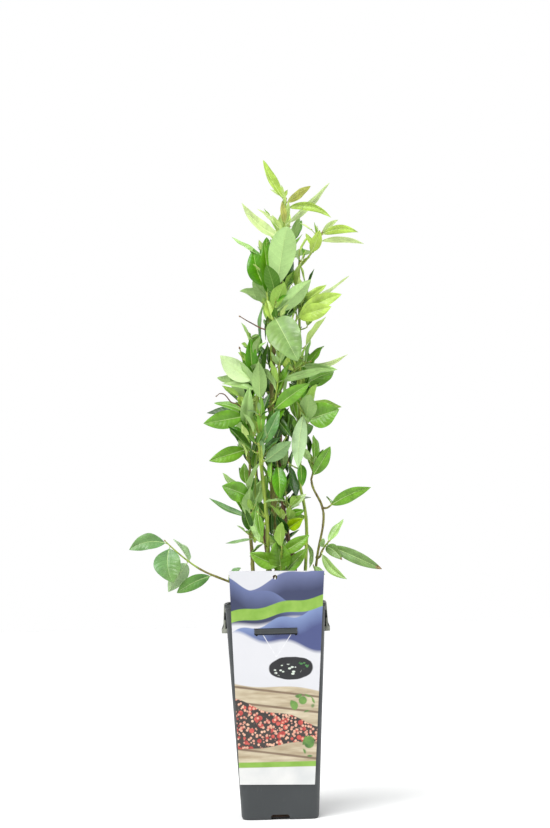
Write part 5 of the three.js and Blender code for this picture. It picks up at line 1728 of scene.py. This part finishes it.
def make_sun():
    """An even, soft light from far off."""
    data = bpy.data.lights.new("soft_sun", "SUN")
    data.angle = math.radians(SUN["angle"])
    data.energy = SUN["strength"]
    put("soft_sun", data, Vector(SUN["place"]), -Vector(SUN["place"]))


def make_floor():
    """A pale floor that glows more with the distance from the pot."""
    look = Shader("floor", 0.7, Specular_IOR_Level=0.2)
    look.set("Base Color", look.mix(look.noise(3), (0.94, 0.945, 0.945), (0.96, 0.96, 0.96)))
    away = look.node("VectorMath", look.place)
    away.operation = "LENGTH"
    look.set("Emission Color", (1, 1, 1, 1))
    look.set("Emission Strength", look.remap(away.outputs["Value"], *FADE, 0.0, FADE_GLOW))
    count = FLOOR["points"]
    steps = np.linspace(-FLOOR["half"], FLOOR["half"], count)
    build = Build()
    build.add([(x, y, -FLOOR["under"]) for y in steps for x in steps], grid_faces(count, count), "floor")
    build.piece("floor", dict(floor=look.material))


def make_world():
    """A white backdrop that lights the plant less than it shows."""
    world = bpy.data.worlds.new("studio")
    world.use_nodes = True
    tree = world.node_tree
    background = tree.nodes["Background"]
    background.inputs["Color"].default_value = (1, 1, 1, 1)
    path = tree.nodes.new("ShaderNodeLightPath")
    strength = tree.nodes.new("ShaderNodeMapRange")
    strength.inputs["To Min"].default_value = FILL
    tree.links.new(path.outputs["Is Camera Ray"], strength.inputs["Value"])
    tree.links.new(strength.outputs[0], background.inputs["Strength"])
    bpy.context.scene.world = world


def make_studio():
    bpy.context.scene.view_settings.view_transform = "Standard"
    make_world()
    make_sun()
    for light in LIGHTS:
        make_light(*light)
    make_floor()


# ---------------------------------------------------------------- the whole plant
def main():
    make_camera()
    materials = make_materials()
    pot_shell(materials)
    for quarter in range(4):
        handle(quarter, materials)
    soil_piece(materials)
    soil_crumbs(materials)
    label_card(materials)
    for limb in LIMB.values():
        limb_piece(limb, materials)
    for growth in grow():
        mass = growth.mass
        wood_piece(growth, materials)
        leaf_piece(mass["name"], growth.leaves, mass["seed"], mass["palette"], materials, mass["name"])
    stalks, leaves = grow_shoots()
    leaf_piece("shoot", leaves, SHOOT["seed"], "green", materials)
    for clothed in CLOTHED:
        more_stalks, leaves = grow_close(clothed)
        stalks += more_stalks
        leaf_piece(clothed["limb"], leaves, clothed["seed"], clothed["palette"], materials)
    stalk_piece("shoot", stalks, materials)
    bare_twigs(materials)
    make_studio()


main()
